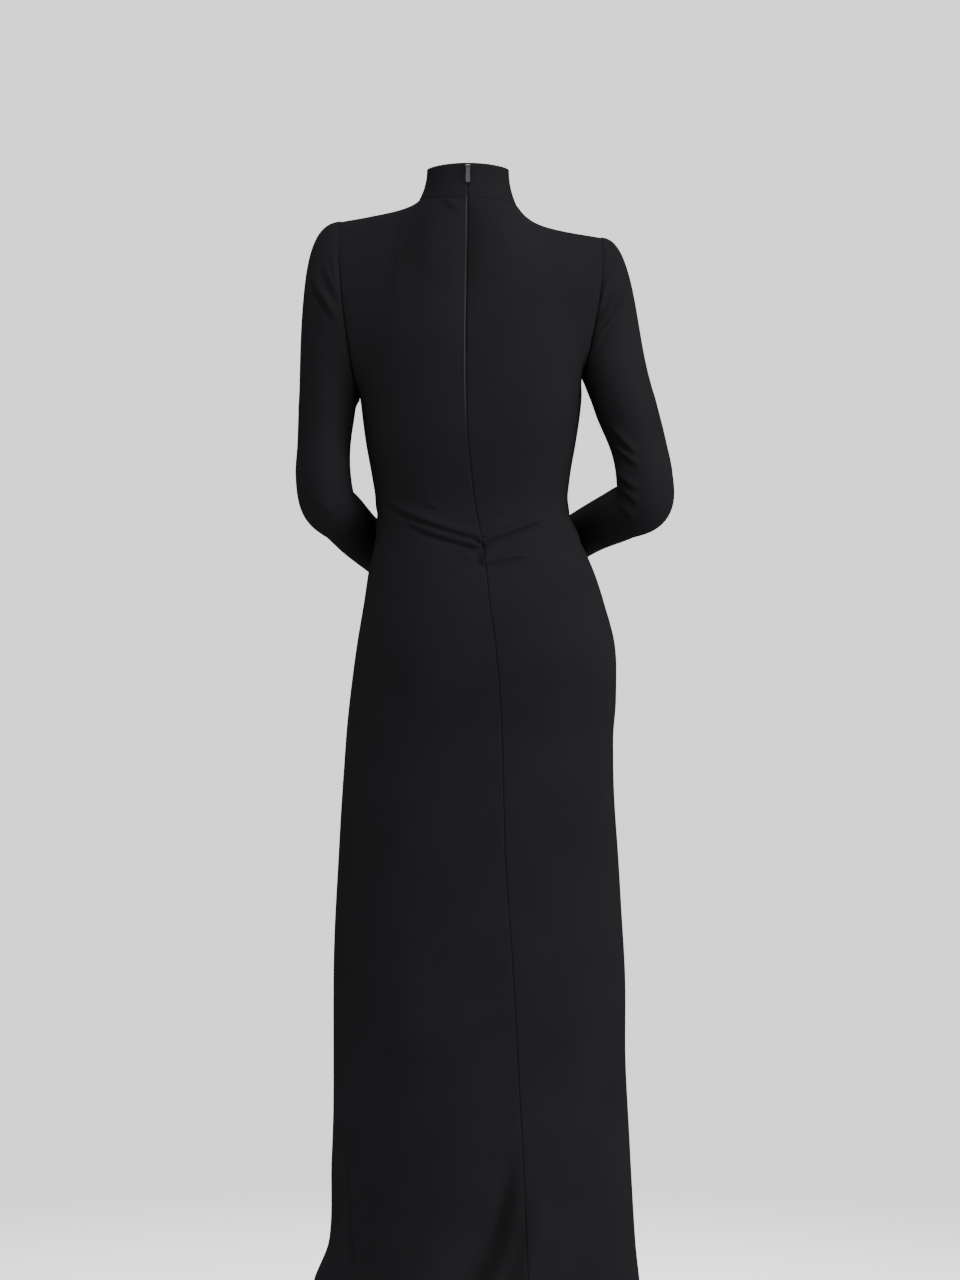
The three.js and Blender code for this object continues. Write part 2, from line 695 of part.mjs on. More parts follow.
// The slider in its own frame: face on Y 0 looking to +Y, pivot at Z 0
function sliderGeometry() {
  const outline = new THREE.Shape();
  const top = SLIDER.length - SLIDER.below;
  outline.moveTo(-SLIDER.topWidth / 2, top);
  outline.lineTo(SLIDER.topWidth / 2, top);
  outline.quadraticCurveTo(SLIDER.topWidth / 2, 0, SLIDER.footWidth / 2, -SLIDER.below);
  outline.lineTo(-SLIDER.footWidth / 2, -SLIDER.below);
  outline.quadraticCurveTo(-SLIDER.topWidth / 2, 0, -SLIDER.topWidth / 2, top);
  const plate = new THREE.ExtrudeGeometry(outline, {
    depth: SLIDER.thick, bevelEnabled: false, curveSegments: 4,
  }).rotateX(Math.PI / 2);
  const earX = SLIDER.earInside + SLIDER.earWidth / 2;
  const earHeight = SLIDER.pivotHeight + SLIDER.earCover;
  let solid = toSolid(plate);
  for (const side of [-1, 1]) {
    solid = solid.add(toSolid(block(
      SLIDER.earWidth, earHeight, SLIDER.earLength,
      side * earX, earHeight / 2 - SLIDER.earSink, 0,
    )));
  }
  const pin = barAlongX(SLIDER.pivotRadius, 0, 2 * earX).translate(0, SLIDER.pivotHeight, 0);
  return toGeometry(solid.add(toSolid(pin)));
}

// The pull tab hangs from its pivot: a knuckle, a narrow neck and a rounded plate
function pullGeometry() {
  const plate = new THREE.Shape();
  const round = PULL.width / 2;
  plate.moveTo(-PULL.neckWidth / 2, -PULL.holeRadius);
  plate.lineTo(-PULL.neckWidth / 2, -PULL.neckLength);
  plate.quadraticCurveTo(-round, -PULL.neckLength - round, -round, -PULL.length + round);
  plate.absarc(0, -PULL.length + round, round, Math.PI, 2 * Math.PI, false);
  plate.quadraticCurveTo(
    round, -PULL.neckLength - round, PULL.neckWidth / 2, -PULL.neckLength,
  );
  plate.lineTo(PULL.neckWidth / 2, -PULL.holeRadius);
  const tab = new THREE.ExtrudeGeometry(plate, {
    depth: PULL.thick, bevelEnabled: false, curveSegments: 8,
  }).translate(0, 0, -PULL.thick / 2).rotateX(Math.PI / 2);
  const knuckle = barAlongX(PULL.knuckleRadius, PULL.holeRadius, PULL.knuckleLength);
  const bore = barAlongX(PULL.holeRadius, 0, PULL.width);
  return toGeometry(toSolid(tab).subtract(toSolid(bore)).add(toSolid(knuckle)));
}

function named(name, geometry, finish) {
  const mesh = new THREE.Mesh(geometry, finish);
  mesh.name = name;
  return mesh;
}

// The zip's hard pieces stand on the neckband's back edge, tilted as it leans
function placeOnCollar(mesh, collar) {
  const seam = columnOf(collar.cells, 0);
  const top = seam.at(-1).point;
  const lower = seam.at(-2).point;
  const up = top.clone().sub(lower).normalize();
  const outward = vec(0, up.z, -up.y);
  const pivot = top.clone()
    .addScaledVector(up, SLIDER.below - SLIDER.length - SLIDER.underEdge)
    .addScaledVector(outward, SEAM_GAP + SLIDER.thick);
  mesh.position.set(0, pivot.y, pivot.z);
  mesh.rotation.x = Math.atan2(-up.y, up.z);
  return mesh;
}

function buildDress() {
  const halves = {};
  for (const [name, shoulder] of Object.entries(SHOULDERS)) {
    halves[name] = { back: halfPanel(shoulder, true), front: halfPanel(shoulder, false) };
  }
  const reversed = (rows) => rows.map((row) => [...row].reverse());
  const piece = (rows, tube, turn) => ({ cells: makeCells(rows), tube, turn });
  const backLeft = piece(halves.left.back, false, 1);
  const backRight = piece(reversed(halves.right.back), false, 1);
  const frontRows = reversed(halves.left.front).map((row, i) => (
    [...row, ...halves.right.front[i].slice(1)]
  ));
  const front = piece(frontRows, false, 1);
  const leftLoop = armholeLoop(halves.left.back, halves.left.front);
  const rightLoop = armholeLoop(halves.right.back, halves.right.front);
  const sleeveLeft = piece(sleeveRows(SLEEVE_LEFT, leftLoop), true, -1);
  const sleeveRight = piece(sleeveRows(SLEEVE_RIGHT, rightLoop), true, 1);
  const collar = piece(collarRows(), false, 1);
  const pieces = [backLeft, backRight, front, sleeveLeft, sleeveRight, collar];
  pieces.forEach(findNormals);
  shareNormals(pieces);
  for (const panel of [backLeft, backRight, front]) {
    openBodySeams(panel.cells);
    openSeam(panel.cells.at(-1), panel.cells.at(-2));
  }
  for (const sleeve of [sleeveLeft, sleeveRight]) {
    openSeam(sleeve.cells[0], sleeve.cells[1]);
  }
  openSeam(collar.cells[0], collar.cells[1]);
  openSeam(columnOf(collar.cells, 0), columnOf(collar.cells, 1));
  openSeam(columnOf(collar.cells, -1), columnOf(collar.cells, -2));
  const tape = { cells: tapeCells(backLeft, backRight, collar), tube: false, turn: 1 };
  findNormals(tape);

  const dress = new THREE.Group();
  dress.add(named('back_left', clothGeometry(backLeft, WALL), jersey()));
  dress.add(named('back_right', clothGeometry(backRight, WALL), jersey()));
  dress.add(named('front', clothGeometry(front, WALL), jersey()));
  dress.add(named('sleeve_left', clothGeometry(sleeveLeft, WALL), jersey()));
  dress.add(named('sleeve_right', clothGeometry(sleeveRight, WALL), jersey()));
  dress.add(named('collar', clothGeometry(collar, WALL), jersey()));
  dress.add(named('zip_tape', clothGeometry(tape, TAPE_WALL), tapeCloth()));
  dress.add(placeOnCollar(named('zip_slider', sliderGeometry(), blackMetal()), collar));
  const pull = placeOnCollar(named('zip_pull', pullGeometry(), blackMetal()), collar);
  pull.translateY(SLIDER.pivotHeight);
  dress.add(pull);
  return dress;
}

export default buildDress();
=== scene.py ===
import collections
import functools
import math

import bpy
import numpy as np
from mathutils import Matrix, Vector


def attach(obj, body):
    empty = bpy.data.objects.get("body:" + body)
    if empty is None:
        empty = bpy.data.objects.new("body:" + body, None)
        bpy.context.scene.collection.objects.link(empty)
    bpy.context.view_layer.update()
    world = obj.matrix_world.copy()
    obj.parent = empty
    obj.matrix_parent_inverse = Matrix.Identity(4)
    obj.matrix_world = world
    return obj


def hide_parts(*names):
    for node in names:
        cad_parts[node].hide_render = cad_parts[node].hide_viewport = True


bl_info = {
    "name": "Jersey maxi dress",
    "version": (1, 0, 0),
    "blender": (4, 5, 0),
    "location": "3D View > Sidebar > Dress",
    "description": "Builds a long-sleeved, high-neck jersey maxi dress on its cut pieces",
    "category": "Object",
}

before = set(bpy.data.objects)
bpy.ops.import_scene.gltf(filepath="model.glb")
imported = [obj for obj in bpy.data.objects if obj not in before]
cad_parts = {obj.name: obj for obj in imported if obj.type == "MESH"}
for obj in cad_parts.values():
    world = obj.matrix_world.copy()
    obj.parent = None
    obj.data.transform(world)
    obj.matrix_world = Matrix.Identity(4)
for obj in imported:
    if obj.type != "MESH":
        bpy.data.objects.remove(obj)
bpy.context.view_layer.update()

MM = 0.001


def table(columns, rows):
    """A small table as one array for each named column."""
    return {name: np.array(values, float) for name, values in zip(columns.split(), zip(*rows))}


# Body of the dress in millimetres: side edges, centre back seam, depth behind and in front
SECTIONS = table("z left right seam back front square", [
    (-1583, 240, -240, -92, 212, -172, 2.1),
    (-1479, 222, -230, -86, 178, -150, 2.1),
    (-1387, 200, -222, -78, 152, -134, 2.15),
    (-1336, 181, -217, -75, 143, -128, 2.2),
    (-1232, 177, -211, -71, 131, -122, 2.2),
    (-1102, 174, -205, -64, 120, -117, 2.2),
    (-972, 174, -203, -57, 112, -113, 2.2),
    (-842, 169, -195, -48, 108, -110, 2.2),
    (-686, 158.5, -188.5, -43.5, 112, -110, 2.25),
    (-634, 153.5, -192, -41, 118, -111, 2.3),
    (-563, 145, -191, -35, 121, -113, 2.35),
    (-504, 135, -175.5, -27, 112, -113, 2.35),
    (-465, 129, -162, -23, 98, -112, 2.35),
    (-426, 121, -145, -18, 84, -108, 2.35),
    (-385, 118.5, -130, -9.5, 76, -104, 2.35),
    (-348, 124, -132.5, -5, 80, -106, 2.35),
    (-296, 134, -141, 0, 90, -116, 2.4),
    (-243, 140, -147.5, 2, 98, -122, 2.45),
    (-215, 141, -147, 3, 101, -120, 2.45),
])
HEM_Z = -1583
UNDERARM_Z = -229
LEAN_FROM = -370
LEAN_RISE = -14

# Soft flutes of the skirt, placed by their angle round it from the centre of the back
FLUTE_GROWTH = 1.2
HEM_FLUTES = table("top top_angle hem_angle depth width", [
    (-1190, -11, 6, -26, 8),
    (-1180, 12, 26, 12, 10),
    (-1220, -30, -16, 14, 9),
    (-1150, 50, 54, -18, 10),
    (-1250, -52, -46, -13, 10),
    (-1230, -78, -72, 8, 12),
    (-1210, 112, 114, -15, 10),
    (-1240, 136, 138, 10, 10),
    (-1170, 161, 164, -19, 9),
    (-1230, 187, 186, 12, 10),
    (-1200, 213, 211, -17, 10),
    (-1260, 240, 237, 9, 10),
])

# Neckline, shoulder seams and the way the cloth rises from the underarm to them
NECK = dict(half_width=64, back=50, front=-58, back_z=14, left_z=14, right_z=8, front_z=-28)
SHOULDERS = {
    "left": dict(x=164, y=-2, z=-12, slope=0.17, neck_rise=9, side=1),
    "right": dict(x=-172, y=-2, z=-33, slope=0.18, neck_rise=21, side=-1),
}
NECK_RISE_REACH = 15
NECK_BLEND = 4
NECK_CORNER = dict(reach=1.7, spread=1.9, hold=6)
YOKE_COLUMNS = "across low_x low_y low_z high_x high_y high_z"
YOKE_BACK = table(YOKE_COLUMNS, [
    (0, 0, 12, 85, 0, 14, -50),
    (0.22, 0, 13, 84, 13, 38, -38),
    (0.45, 0, 15, 82, 14, 57, -19),
    (0.72, 2, 27, 68, 5, 64, -12),
    (1, 10, 72, 15, 11, 64, -38),
])
YOKE_FRONT = table(YOKE_COLUMNS, [
    (0, 0, 4, 75, 0, -18, -42),
    (0.22, 0, 2, 75, 12, -32, -32),
    (0.45, 0, 0, 74, 14, -44, -18),
    (0.72, 2, -18, 62, 5, -58, -14),
    (1, 10, -66, 15, 11, -60, -38),
])
COLLAR = dict(half_width=53, back=41, front=-62, back_z=58, side_z=54, front_z=18)

# Sleeves from the upper arm to the cuff: centre line and half sizes
STATION_COLUMNS = "x y z wide deep"
SLEEVES = {
    "left": dict(side=1, cap_reach=62, stations=table(STATION_COLUMNS, [
        (183, 6, -257, 37.5, 46),
        (186.5, 12, -305, 35, 41),
        (187, 19, -345, 36, 39.5),
        (181.5, 14, -378, 36, 37),
        (163, -18, -397, 33, 35),
        (141, -71, -420, 31, 32),
        (104, -126, -451, 29, 30),
        (57, -163, -484, 26, 27),
    ])),
    "right": dict(side=-1, cap_reach=47, stations=table(STATION_COLUMNS, [
        (-205, 6, -254, 40, 46),
        (-221.5, 12, -305, 36.5, 41),
        (-229, 19, -345, 37, 39),
        (-228.5, 14, -377, 37, 38),
        (-202, -16, -391, 34, 35.5),
        (-169, -62, -406, 31, 33),
        (-126, -122, -430, 29, 30),
        (-79, -160, -456, 26, 27),
    ])),
}

# How far the cap runs straight on from the armhole and into the arm, as shares of its length
CAP_EASE = dict(leave=0.33, arrive=0.42)

# Columns of the coarse cut that the tables above are written for
TAPE_HALF_WIDTH = 12
FRONT_COLUMN_ANGLE = 12
NECK_COLUMN_ANGLE = 18
NECK_COLUMNS = 4
SHOULDER_COLUMNS = 5
HALF_COLUMNS = NECK_COLUMNS + SHOULDER_COLUMNS

# Rows of the cloth from the hem up: each zone ends at a height, with a row every so often
ROW_ZONES = table("to step", [
    (-1387, 8),
    (-1100, 9),
    (-640, 11),
    (-475, 5.5),
    (-362, 1.5),
    (UNDERARM_Z, 5),
])
YOKE_ROWS = 54
CAP_RINGS = 34
ARM_RINGS = 150
COLLAR_ROWS = 16
NEAR_SEAM = (0, 0.6, 1.3, 2.2, 3.4, 5, 7.4)
NEAR_HEM = (0.8, 2.4, 5)
NEAR_CUFF = (1, 2.5, 4.5)
COLUMN_PARTS = 8
# Lengths of cloth that those distances are shares of
SIDE_COLUMN_WIDTH = 34
YOKE_LENGTH = 230
COLLAR_HEIGHT = 45
CAP_LENGTH = 120
ARM_LENGTH = 400
# Where the body passes into the yoke its bend is eased, but for the columns at the armhole
BEND_ROWS = (6, 12)
BEND_COLUMNS = (0.1, 1.4)
BEND_PASSES = 40
# The left edge of the closed zip lies a little proud of the right one in its upper part
ZIP_LIP = dict(away=2.2, height=1.1, width=1.0, fades=-300, full=-200)
ZIP_END_Z = -457

# A crease is a soft ridge, or a trough where its height is below nothing, along a bent line.
# The side that it faces gives the plane of its points: back and front creases have x and z,
# left and right ones y and z, and arm ones the turn round the arm in degrees and the length
# along it. It fades out at both ends, or only at its start.
Crease = collections.namedtuple(
    "Crease", "start middle end height width ends", defaults=["both"],
)

BODY_CREASES = {
    "back": [
        # Small of the back, towards the end of the zip
        ((112, -374), (52, -403), (-14, -424), 4.0, 3.8, "start"),
        ((90, -398), (40, -420), (-15, -435), 3.6, 3.6, "start"),
        ((16, -434), (-3, -442), (-16, -456), -1.6, 3.0, "start"),
        ((-124, -390), (-66, -412), (-20, -430), 4.6, 3.7, "start"),
        ((-110, -401), (-98, -408), (-85, -414), 1.8, 3.0),
        ((-92, -446), (-52, -451), (-22, -458), 3.6, 3.4, "start"),
        ((-43, -444), (-32, -447), (-21, -453), 1.6, 2.8, "start"),
        ((-24, -436), (-24, -446), (-25, -456), 0.6, 2.8),
        ((58, -381), (46, -384), (36, -389), 1.0, 3.0),
        ((-30, -394), (-42, -390), (-54, -381), 1.3, 2.5),
        ((115, -420), (108, -437), (97, -456), 1.0, 3.2),
        ((92, -350), (60, -366), (30, -374), 0.8, 12.0),
        ((-118, -372), (-84, -384), (-48, -392), 1.0, 9.0),
        # Between the shoulder blades and at the neck
        ((36, 14), (20, 3), (2, -9), 2.6, 3.4),
        ((70, -26), (42, -60), (20, -104), 0.8, 20.0),
        ((-66, -40), (-40, -72), (-20, -110), 0.7, 20.0),
        ((122, -190), (104, -240), (96, -300), 1.0, 15.0),
        ((-126, -205), (-112, -262), (-106, -320), 1.0, 15.0),
        # Skirt behind
        ((-52, -1200), (-37, -1310), (6, -1400), -13.0, 9.5, "start"),
        ((-92, -1230), (-82, -1320), (-52, -1430), 5.5, 14.0, "start"),
        ((168, -1130), (162, -1175), (170, -1250), 4.6, 7.0, "start"),
        ((163, -1150), (159, -1250), (152, -1350), -6.0, 6.0, "start"),
        ((-168, -738), (-168, -760), (-169, -792), -1.8, 5.0),
        ((60, -905), (72, -1060), (84, -1260), 2.4, 26.0),
        ((-140, -930), (-146, -1080), (-160, -1300), 2.2, 24.0),
    ],
    "front": [
        # Soft drag lines from the bust, at the waist and over the skirt
        ((118, -196), (88, -262), (60, -338), 2.2, 14.0),
        ((-122, -190), (-92, -250), (-58, -330), 2.0, 15.0),
        ((102, -372), (46, -392), (-8, -398), 2.6, 8.0),
        ((-112, -366), (-70, -384), (-14, -388), 2.2, 7.0),
        ((92, -408), (38, -420), (-20, -424), -1.8, 8.0),
        ((-108, -412), (-62, -430), (-6, -440), 2.3, 9.0),
        ((112, -446), (72, -466), (22, -476), 1.8, 10.0),
        ((30, -34), (12, -46), (-16, -40), 1.1, 7.0),
        ((96, -60), (74, -110), (66, -160), 1.4, 13.0),
        ((-98, -72), (-78, -120), (-66, -176), 1.3, 12.0),
        ((64, -690), (78, -980), (92, -1290), 3.0, 26.0),
        ((-52, -760), (-66, -1020), (-84, -1330), 2.8, 24.0),
        ((10, -1000), (14, -1200), (20, -1420), -3.0, 20.0),
    ],
    # Sides of the waist and of the skirt
    "left": [
        ((30, -370), (-14, -384), (-66, -380), 1.3, 7.0),
        ((22, -402), (-20, -410), (-70, -404), 1.1, 8.0),
        ((28, -900), (34, -1080), (44, -1300), 2.4, 22.0),
    ],
    "right": [
        ((26, -374), (-14, -388), (-64, -386), 1.3, 7.0),
        ((30, -410), (-10, -418), (-60, -410), 1.1, 8.0),
        ((-26, -880), (-32, -1060), (-40, -1290), 2.4, 22.0),
    ],
}

SLEEVE_CREASES = {
    "left": {
        "back": [
            # Drag folds from the armhole
            ((204, -84), (187, -114), (164, -152), 4.8, 3.4),
            ((188, -68), (177, -94), (165, -122), 3.8, 3.1),
            ((175, -54), (171, -84), (166, -112), 3.0, 2.9),
            # Small bumps and wrinkles at the elbow
            ((228, -338), (223, -344), (220, -352), 0.7, 3.4),
            ((216, -352), (208, -360), (204, -370), 0.8, 3.2),
            ((172, -380), (164, -381), (154, -386), 1.0, 2.8),
            ((196, -372), (184, -384), (168, -398), 1.0, 3.6),
        ],
        "front": [
            # Drag folds from the armhole
            ((196, -96), (182, -124), (168, -160), 1.8, 3.4),
            ((186, -74), (178, -98), (169, -126), 1.4, 3.2),
        ],
    },
    "right": {
        "back": [
            ((-204, -98), (-184, -130), (-160, -158), 5.0, 3.4),
            ((-198, -128), (-178, -156), (-157, -182), 4.6, 3.3),
            ((-188, -78), (-178, -104), (-168, -130), 2.8, 3.0),
            # Folds at the inside of the elbow
            ((-179, -274), (-200, -298), (-221, -322), 4.4, 3.5),
            ((-187, -301), (-203, -318), (-224, -336), 4.0, 3.3),
            ((-188, -338), (-203, -350), (-219, -366), 4.0, 3.3),
            ((-196, -358), (-208, -370), (-221, -381), 3.2, 3.1),
            ((-194, -382), (-206, -392), (-216, -404), 2.6, 3.0),
        ],
        "front": [
            ((-200, -112), (-184, -138), (-165, -168), 1.8, 3.4),
            ((-188, -88), (-180, -112), (-172, -140), 1.4, 3.2),
        ],
    },
}

# Creases in the crook of the arm and along the forearm, on both sleeves
ARM_CREASES = [
    ((-40, 62), (-66, 78), (-104, 82), 1.8, 3.6),
    ((-30, 84), (-64, 98), (-112, 100), 2.3, 3.8),
    ((-24, 106), (-62, 118), (-116, 122), 2.5, 3.9),
    ((-34, 130), (-66, 140), (-108, 146), 2.1, 3.8),
    ((-44, 156), (-70, 164), (-98, 172), 1.5, 3.8),
    ((60, 214), (96, 236), (128, 252), 1.3, 7.0),
    ((-128, 226), (-98, 252), (-62, 270), 1.4, 7.0),
    ((150, 276), (186, 292), (222, 300), 1.2, 6.5),
    ((20, 292), (52, 306), (90, 312), 1.2, 6.0),
    ((200, 318), (236, 328), (276, 326), 1.3, 5.5),
    ((-60, 20), (-100, 32), (-136, 30), 1.3, 9.0),
]


def smooth_read(rows, key, at):
    """Every column of a table at the given places, on a smooth curve through its rows."""
    order = np.argsort(rows[key])
    places = rows[key][order]
    at = np.clip(at, places[0], places[-1])
    k = np.clip(np.searchsorted(places, at, side="right") - 1, 0, len(places) - 2)
    span = places[k + 1] - places[k]
    t = (at - places[k]) / span
    found = {}
    for column in rows:
        values = rows[column][order]
        steps = np.diff(values) / np.diff(places)
        slopes = np.concatenate([
            steps[:1],
            (values[2:] - values[:-2]) / (places[2:] - places[:-2]),
            steps[-1:],
        ])
        rise = values[k + 1] - values[k]
        leave = slopes[k] * span
        arrive = slopes[k + 1] * span
        found[column] = (
            values[k] + leave * t + (3 * rise - 2 * leave - arrive) * t ** 2
            + (leave + arrive - 2 * rise) * t ** 3
        )
    return found


def signed_power(value, power):
    return np.sign(value) * np.abs(value) ** power


def smooth_step(value, low, high):
    t = np.clip((value - low) / (high - low), 0, 1)
    return t * t * (3 - 2 * t)


def unit(vectors):
    return vectors / np.maximum(np.linalg.norm(vectors, axis=-1, keepdims=True), 1e-9)


def stack(x, y, z):
    return np.stack(np.broadcast_arrays(x, y, z), axis=-1).astype(float)


def lengths_along(points, axis):
    """How far along its column, axis 0, or its row, axis 1, each point of a grid lies."""
    steps = np.cumsum(np.linalg.norm(np.diff(points, axis=axis), axis=2), axis=axis)
    return np.pad(steps, ((1, 0), (0, 0)) if axis == 0 else ((0, 0), (1, 0)))


def flute_depth(angle, z):
    """How far the skirt's flutes stand out at each place."""
    depth = np.zeros(np.broadcast(angle, z).shape)
    for top, top_angle, hem_angle, height, width in zip(*HEM_FLUTES.values()):
        down = np.clip((top - z) / (top - HEM_Z), 0, 1)
        centre = top_angle + (hem_angle - top_angle) * down
        turned = (angle - centre + 180) % 360 - 180
        depth = depth + height * down ** FLUTE_GROWTH * np.exp(-((turned / width) ** 2))
    return depth


def body_section(z):
    """The section of the dress at each height, with its middle and its half width."""
    section = smooth_read(SECTIONS, "z", z)
    left, right = section["left"], section["right"]
    return section, (left + right) / 2, (left - right) / 2


def body_point(z, angle):
    """The dress below the armholes: angle 0 is the centre of the back, 90 the left side."""
    section, middle, half = body_section(z)
    square = section["square"]
    sideways = signed_power(np.sin(np.radians(angle)), 2 / square)
    backwards = signed_power(np.cos(np.radians(angle)), 2 / square)
    depth = np.where(backwards > 0, section["back"], -section["front"])
    outward = unit(stack(
        signed_power(sideways, square - 1) / half,
        signed_power(backwards, square - 1) / depth,
        0,
    ))
    point = stack(middle + half * sideways, depth * backwards, z)
    return point + outward * flute_depth(angle, z)[..., None]


def angle_beside_seam(z, distance):
    """The angle of the point that lies a distance to the side of the centre back seam."""
    section, middle, half = body_section(z)
    sideways = (section["seam"] + distance - middle) / half
    return np.degrees(np.arcsin(signed_power(sideways, section["square"] / 2)))


def column_places():
    """Column places from the centre line, 0, to the side, HALF_COLUMNS, denser at both."""
    places = [distance / TAPE_HALF_WIDTH for distance in NEAR_SEAM]
    places += list(np.linspace(1, HALF_COLUMNS, COLUMN_PARTS * (HALF_COLUMNS - 1) + 1)[:-1])
    places += [
        HALF_COLUMNS - distance / SIDE_COLUMN_WIDTH for distance in reversed(NEAR_SEAM)
    ]
    return np.array(sorted(set(np.round(places, 4))))


def body_angles(places, z, side, on_back):
    """The angles of the columns of one half at the heights z."""
    if on_back:
        centre = angle_beside_seam(z, 0)
        first = angle_beside_seam(z, side * TAPE_HALF_WIDTH)
    else:
        centre = np.full(z.shape, 180.0 * side)
        first = np.full(z.shape, (180.0 - FRONT_COLUMN_ANGLE) * side)
    edge = 90.0 * side
    inner = centre + (first - centre) * np.clip(places, 0, 1)
    outer = (edge - first) * np.clip(places - 1, 0, None) / (HALF_COLUMNS - 1)
    return inner + outer


def neckline_point(turn):
    backwards = np.cos(np.radians(turn))
    sideways = np.sin(np.radians(turn))
    depth = np.where(backwards > 0, NECK["back"], -NECK["front"])
    side_z = np.where(sideways > 0, NECK["left_z"], NECK["right_z"])
    end_z = np.where(backwards > 0, NECK["back_z"], NECK["front_z"])
    z = side_z + (end_z - side_z) * backwards ** 2
    return stack(NECK["half_width"] * sideways, depth * backwards, z)


def neck_turn(places, on_back):
    """The turn round the neckline of each column from the centre line to the neck point."""
    centre = 0.0 if on_back else 180.0
    first = np.degrees(TAPE_HALF_WIDTH / NECK["half_width"])
    first = first if on_back else 180.0 - NECK_COLUMN_ANGLE
    inner = centre + (first - centre) * np.clip(places, 0, 1)
    return inner + (90.0 - first) * np.clip(places - 1, 0, None) / (NECK_COLUMNS - 1)


def shoulder_point(shoulder, across):
    half = NECK["half_width"]
    x = half * shoulder["side"] * (1 - across) + shoulder["x"] * across
    inward = abs(shoulder["x"]) - np.abs(x)
    neck_z = NECK["left_z"] if shoulder["side"] > 0 else NECK["right_z"]
    rise = shoulder["neck_rise"] * np.exp(-(np.abs(x) - half) / NECK_RISE_REACH)
    at_neck = shoulder["z"] + shoulder["slope"] * (abs(shoulder["x"]) - half)
    at_neck += shoulder["neck_rise"]
    z = shoulder["z"] + shoulder["slope"] * inward + rise
    z = z + (neck_z - at_neck) * (1 - across) ** NECK_BLEND
    return stack(x, shoulder["y"] * across, z)


def top_points(shoulder, places, on_back):
    """The neckline and shoulder seam at the column places."""
    places = np.clip(places, 0, HALF_COLUMNS)
    on_neck = places <= NECK_COLUMNS
    neck = neckline_point(neck_turn(np.minimum(places, NECK_COLUMNS), on_back) * shoulder["side"])
    across = np.clip(places - NECK_COLUMNS, 0, None) / SHOULDER_COLUMNS
    return np.where(on_neck[:, None], neck, shoulder_point(shoulder, across))


def soft_top_points(shoulder, places, on_back):
    """The top edge that the cloth follows, its corner at the neck rounded off."""
    away = (places - NECK_COLUMNS) / NECK_CORNER["spread"]
    reach = NECK_CORNER["reach"] * np.exp(-away ** 2)
    total = 0
    for k, weight in enumerate((1, 2, 3, 2, 1)):
        total = total + weight / 9 * top_points(shoulder, places + reach * (k / 2 - 1), on_back)
    return total


def bezier(start, leave, arrive, end, t):
    t = t[:, None, None]
    return (start * (1 - t) ** 3 + 3 * leave * t * (1 - t) ** 2
            + 3 * arrive * t ** 2 * (1 - t) + end * t ** 3)


def row_heights():
    heights = [HEM_Z, *(HEM_Z + up for up in NEAR_HEM)]
    for to, step in zip(ROW_ZONES["to"], ROW_ZONES["step"]):
        count = max(1, round((to - heights[-1]) / step))
        heights += list(np.linspace(heights[-1], to, count + 1)[1:])
    return np.array(heights)


def near_end(count, spread):
    """Places from 0 to 1, closer together at the end."""
    places = np.linspace(0, 1, count + 1)[1:]
    last = 1 - np.array(NEAR_SEAM[1:-1]) / spread
    return np.array(sorted(set(np.round([*places, *last], 4))))


def half_panel(shoulder, places, on_back):
    """One half of the back or front: rows from the hem up, columns from the centre line."""
    side = shoulder["side"]
    z = row_heights()[:, None]
    angles = body_angles(places[None, :], z, side, on_back)
    lean = LEAN_RISE * smooth_step(z, LEAN_FROM, UNDERARM_Z)
    rows = body_point(z + lean * np.sin(np.radians(angles)), angles)
    t = near_end(YOKE_ROWS, YOKE_LENGTH)
    hold = (t ** NECK_CORNER["hold"])[:, None, None]
    edge = top_points(shoulder, places, on_back)
    soft = soft_top_points(shoulder, places, on_back)
    top = soft + (edge - soft) * hold
    yoke = smooth_read(YOKE_BACK if on_back else YOKE_FRONT, "across", places / HALF_COLUMNS)
    low = rows[-1]
    leave = low + stack(yoke["low_x"] * side, yoke["low_y"], yoke["low_z"])
    arrive = top + stack(yoke["high_x"] * side, yoke["high_y"], yoke["high_z"])
    upper = bezier(low, leave, arrive, top, t)
    whole = np.concatenate([rows, upper])
    away = np.abs(np.arange(len(whole)) - len(rows) + 1)
    near = 1 - smooth_step(away, *BEND_ROWS)
    free = smooth_step(HALF_COLUMNS - places, *BEND_COLUMNS)
    share = (near[1:-1, None] * free[None, :])[..., None]
    for _ in range(BEND_PASSES):
        mean = (whole[:-2] + whole[2:]) / 2
        whole[1:-1] += (mean - whole[1:-1]) * share
    return whole


def collar_grid(places):
    """The neckband from the neckline up, once round from the left edge of the back."""
    back = neck_turn(places, True)
    front = neck_turn(places, False)
    turns = np.concatenate([
        back, front[::-1][1:], 360 - front[1:], 360 - back[::-1][1:],
    ])
    up = np.concatenate([
        np.array(NEAR_SEAM[:-1]) / COLLAR_HEIGHT,
        np.linspace(0, 1, COLLAR_ROWS + 1)[3:],
    ])
    up = np.array(sorted(up))[:, None]
    draw_in = 1 - (1 - up) ** 2
    base = neckline_point(turns)[None]
    backwards = np.cos(np.radians(turns))
    depth = np.where(backwards > 0, COLLAR["back"], -COLLAR["front"])
    end_z = np.where(backwards > 0, COLLAR["back_z"], COLLAR["front_z"])
    x = COLLAR["half_width"] * np.sin(np.radians(turns))
    y = depth * backwards
    z = COLLAR["side_z"] + (end_z - COLLAR["side_z"]) * backwards ** 2
    return stack(
        base[..., 0] + (x - base[..., 0]) * draw_in,
        base[..., 1] + (y - base[..., 1]) * draw_in,
        base[..., 2] + (z - base[..., 2]) * up,
    )


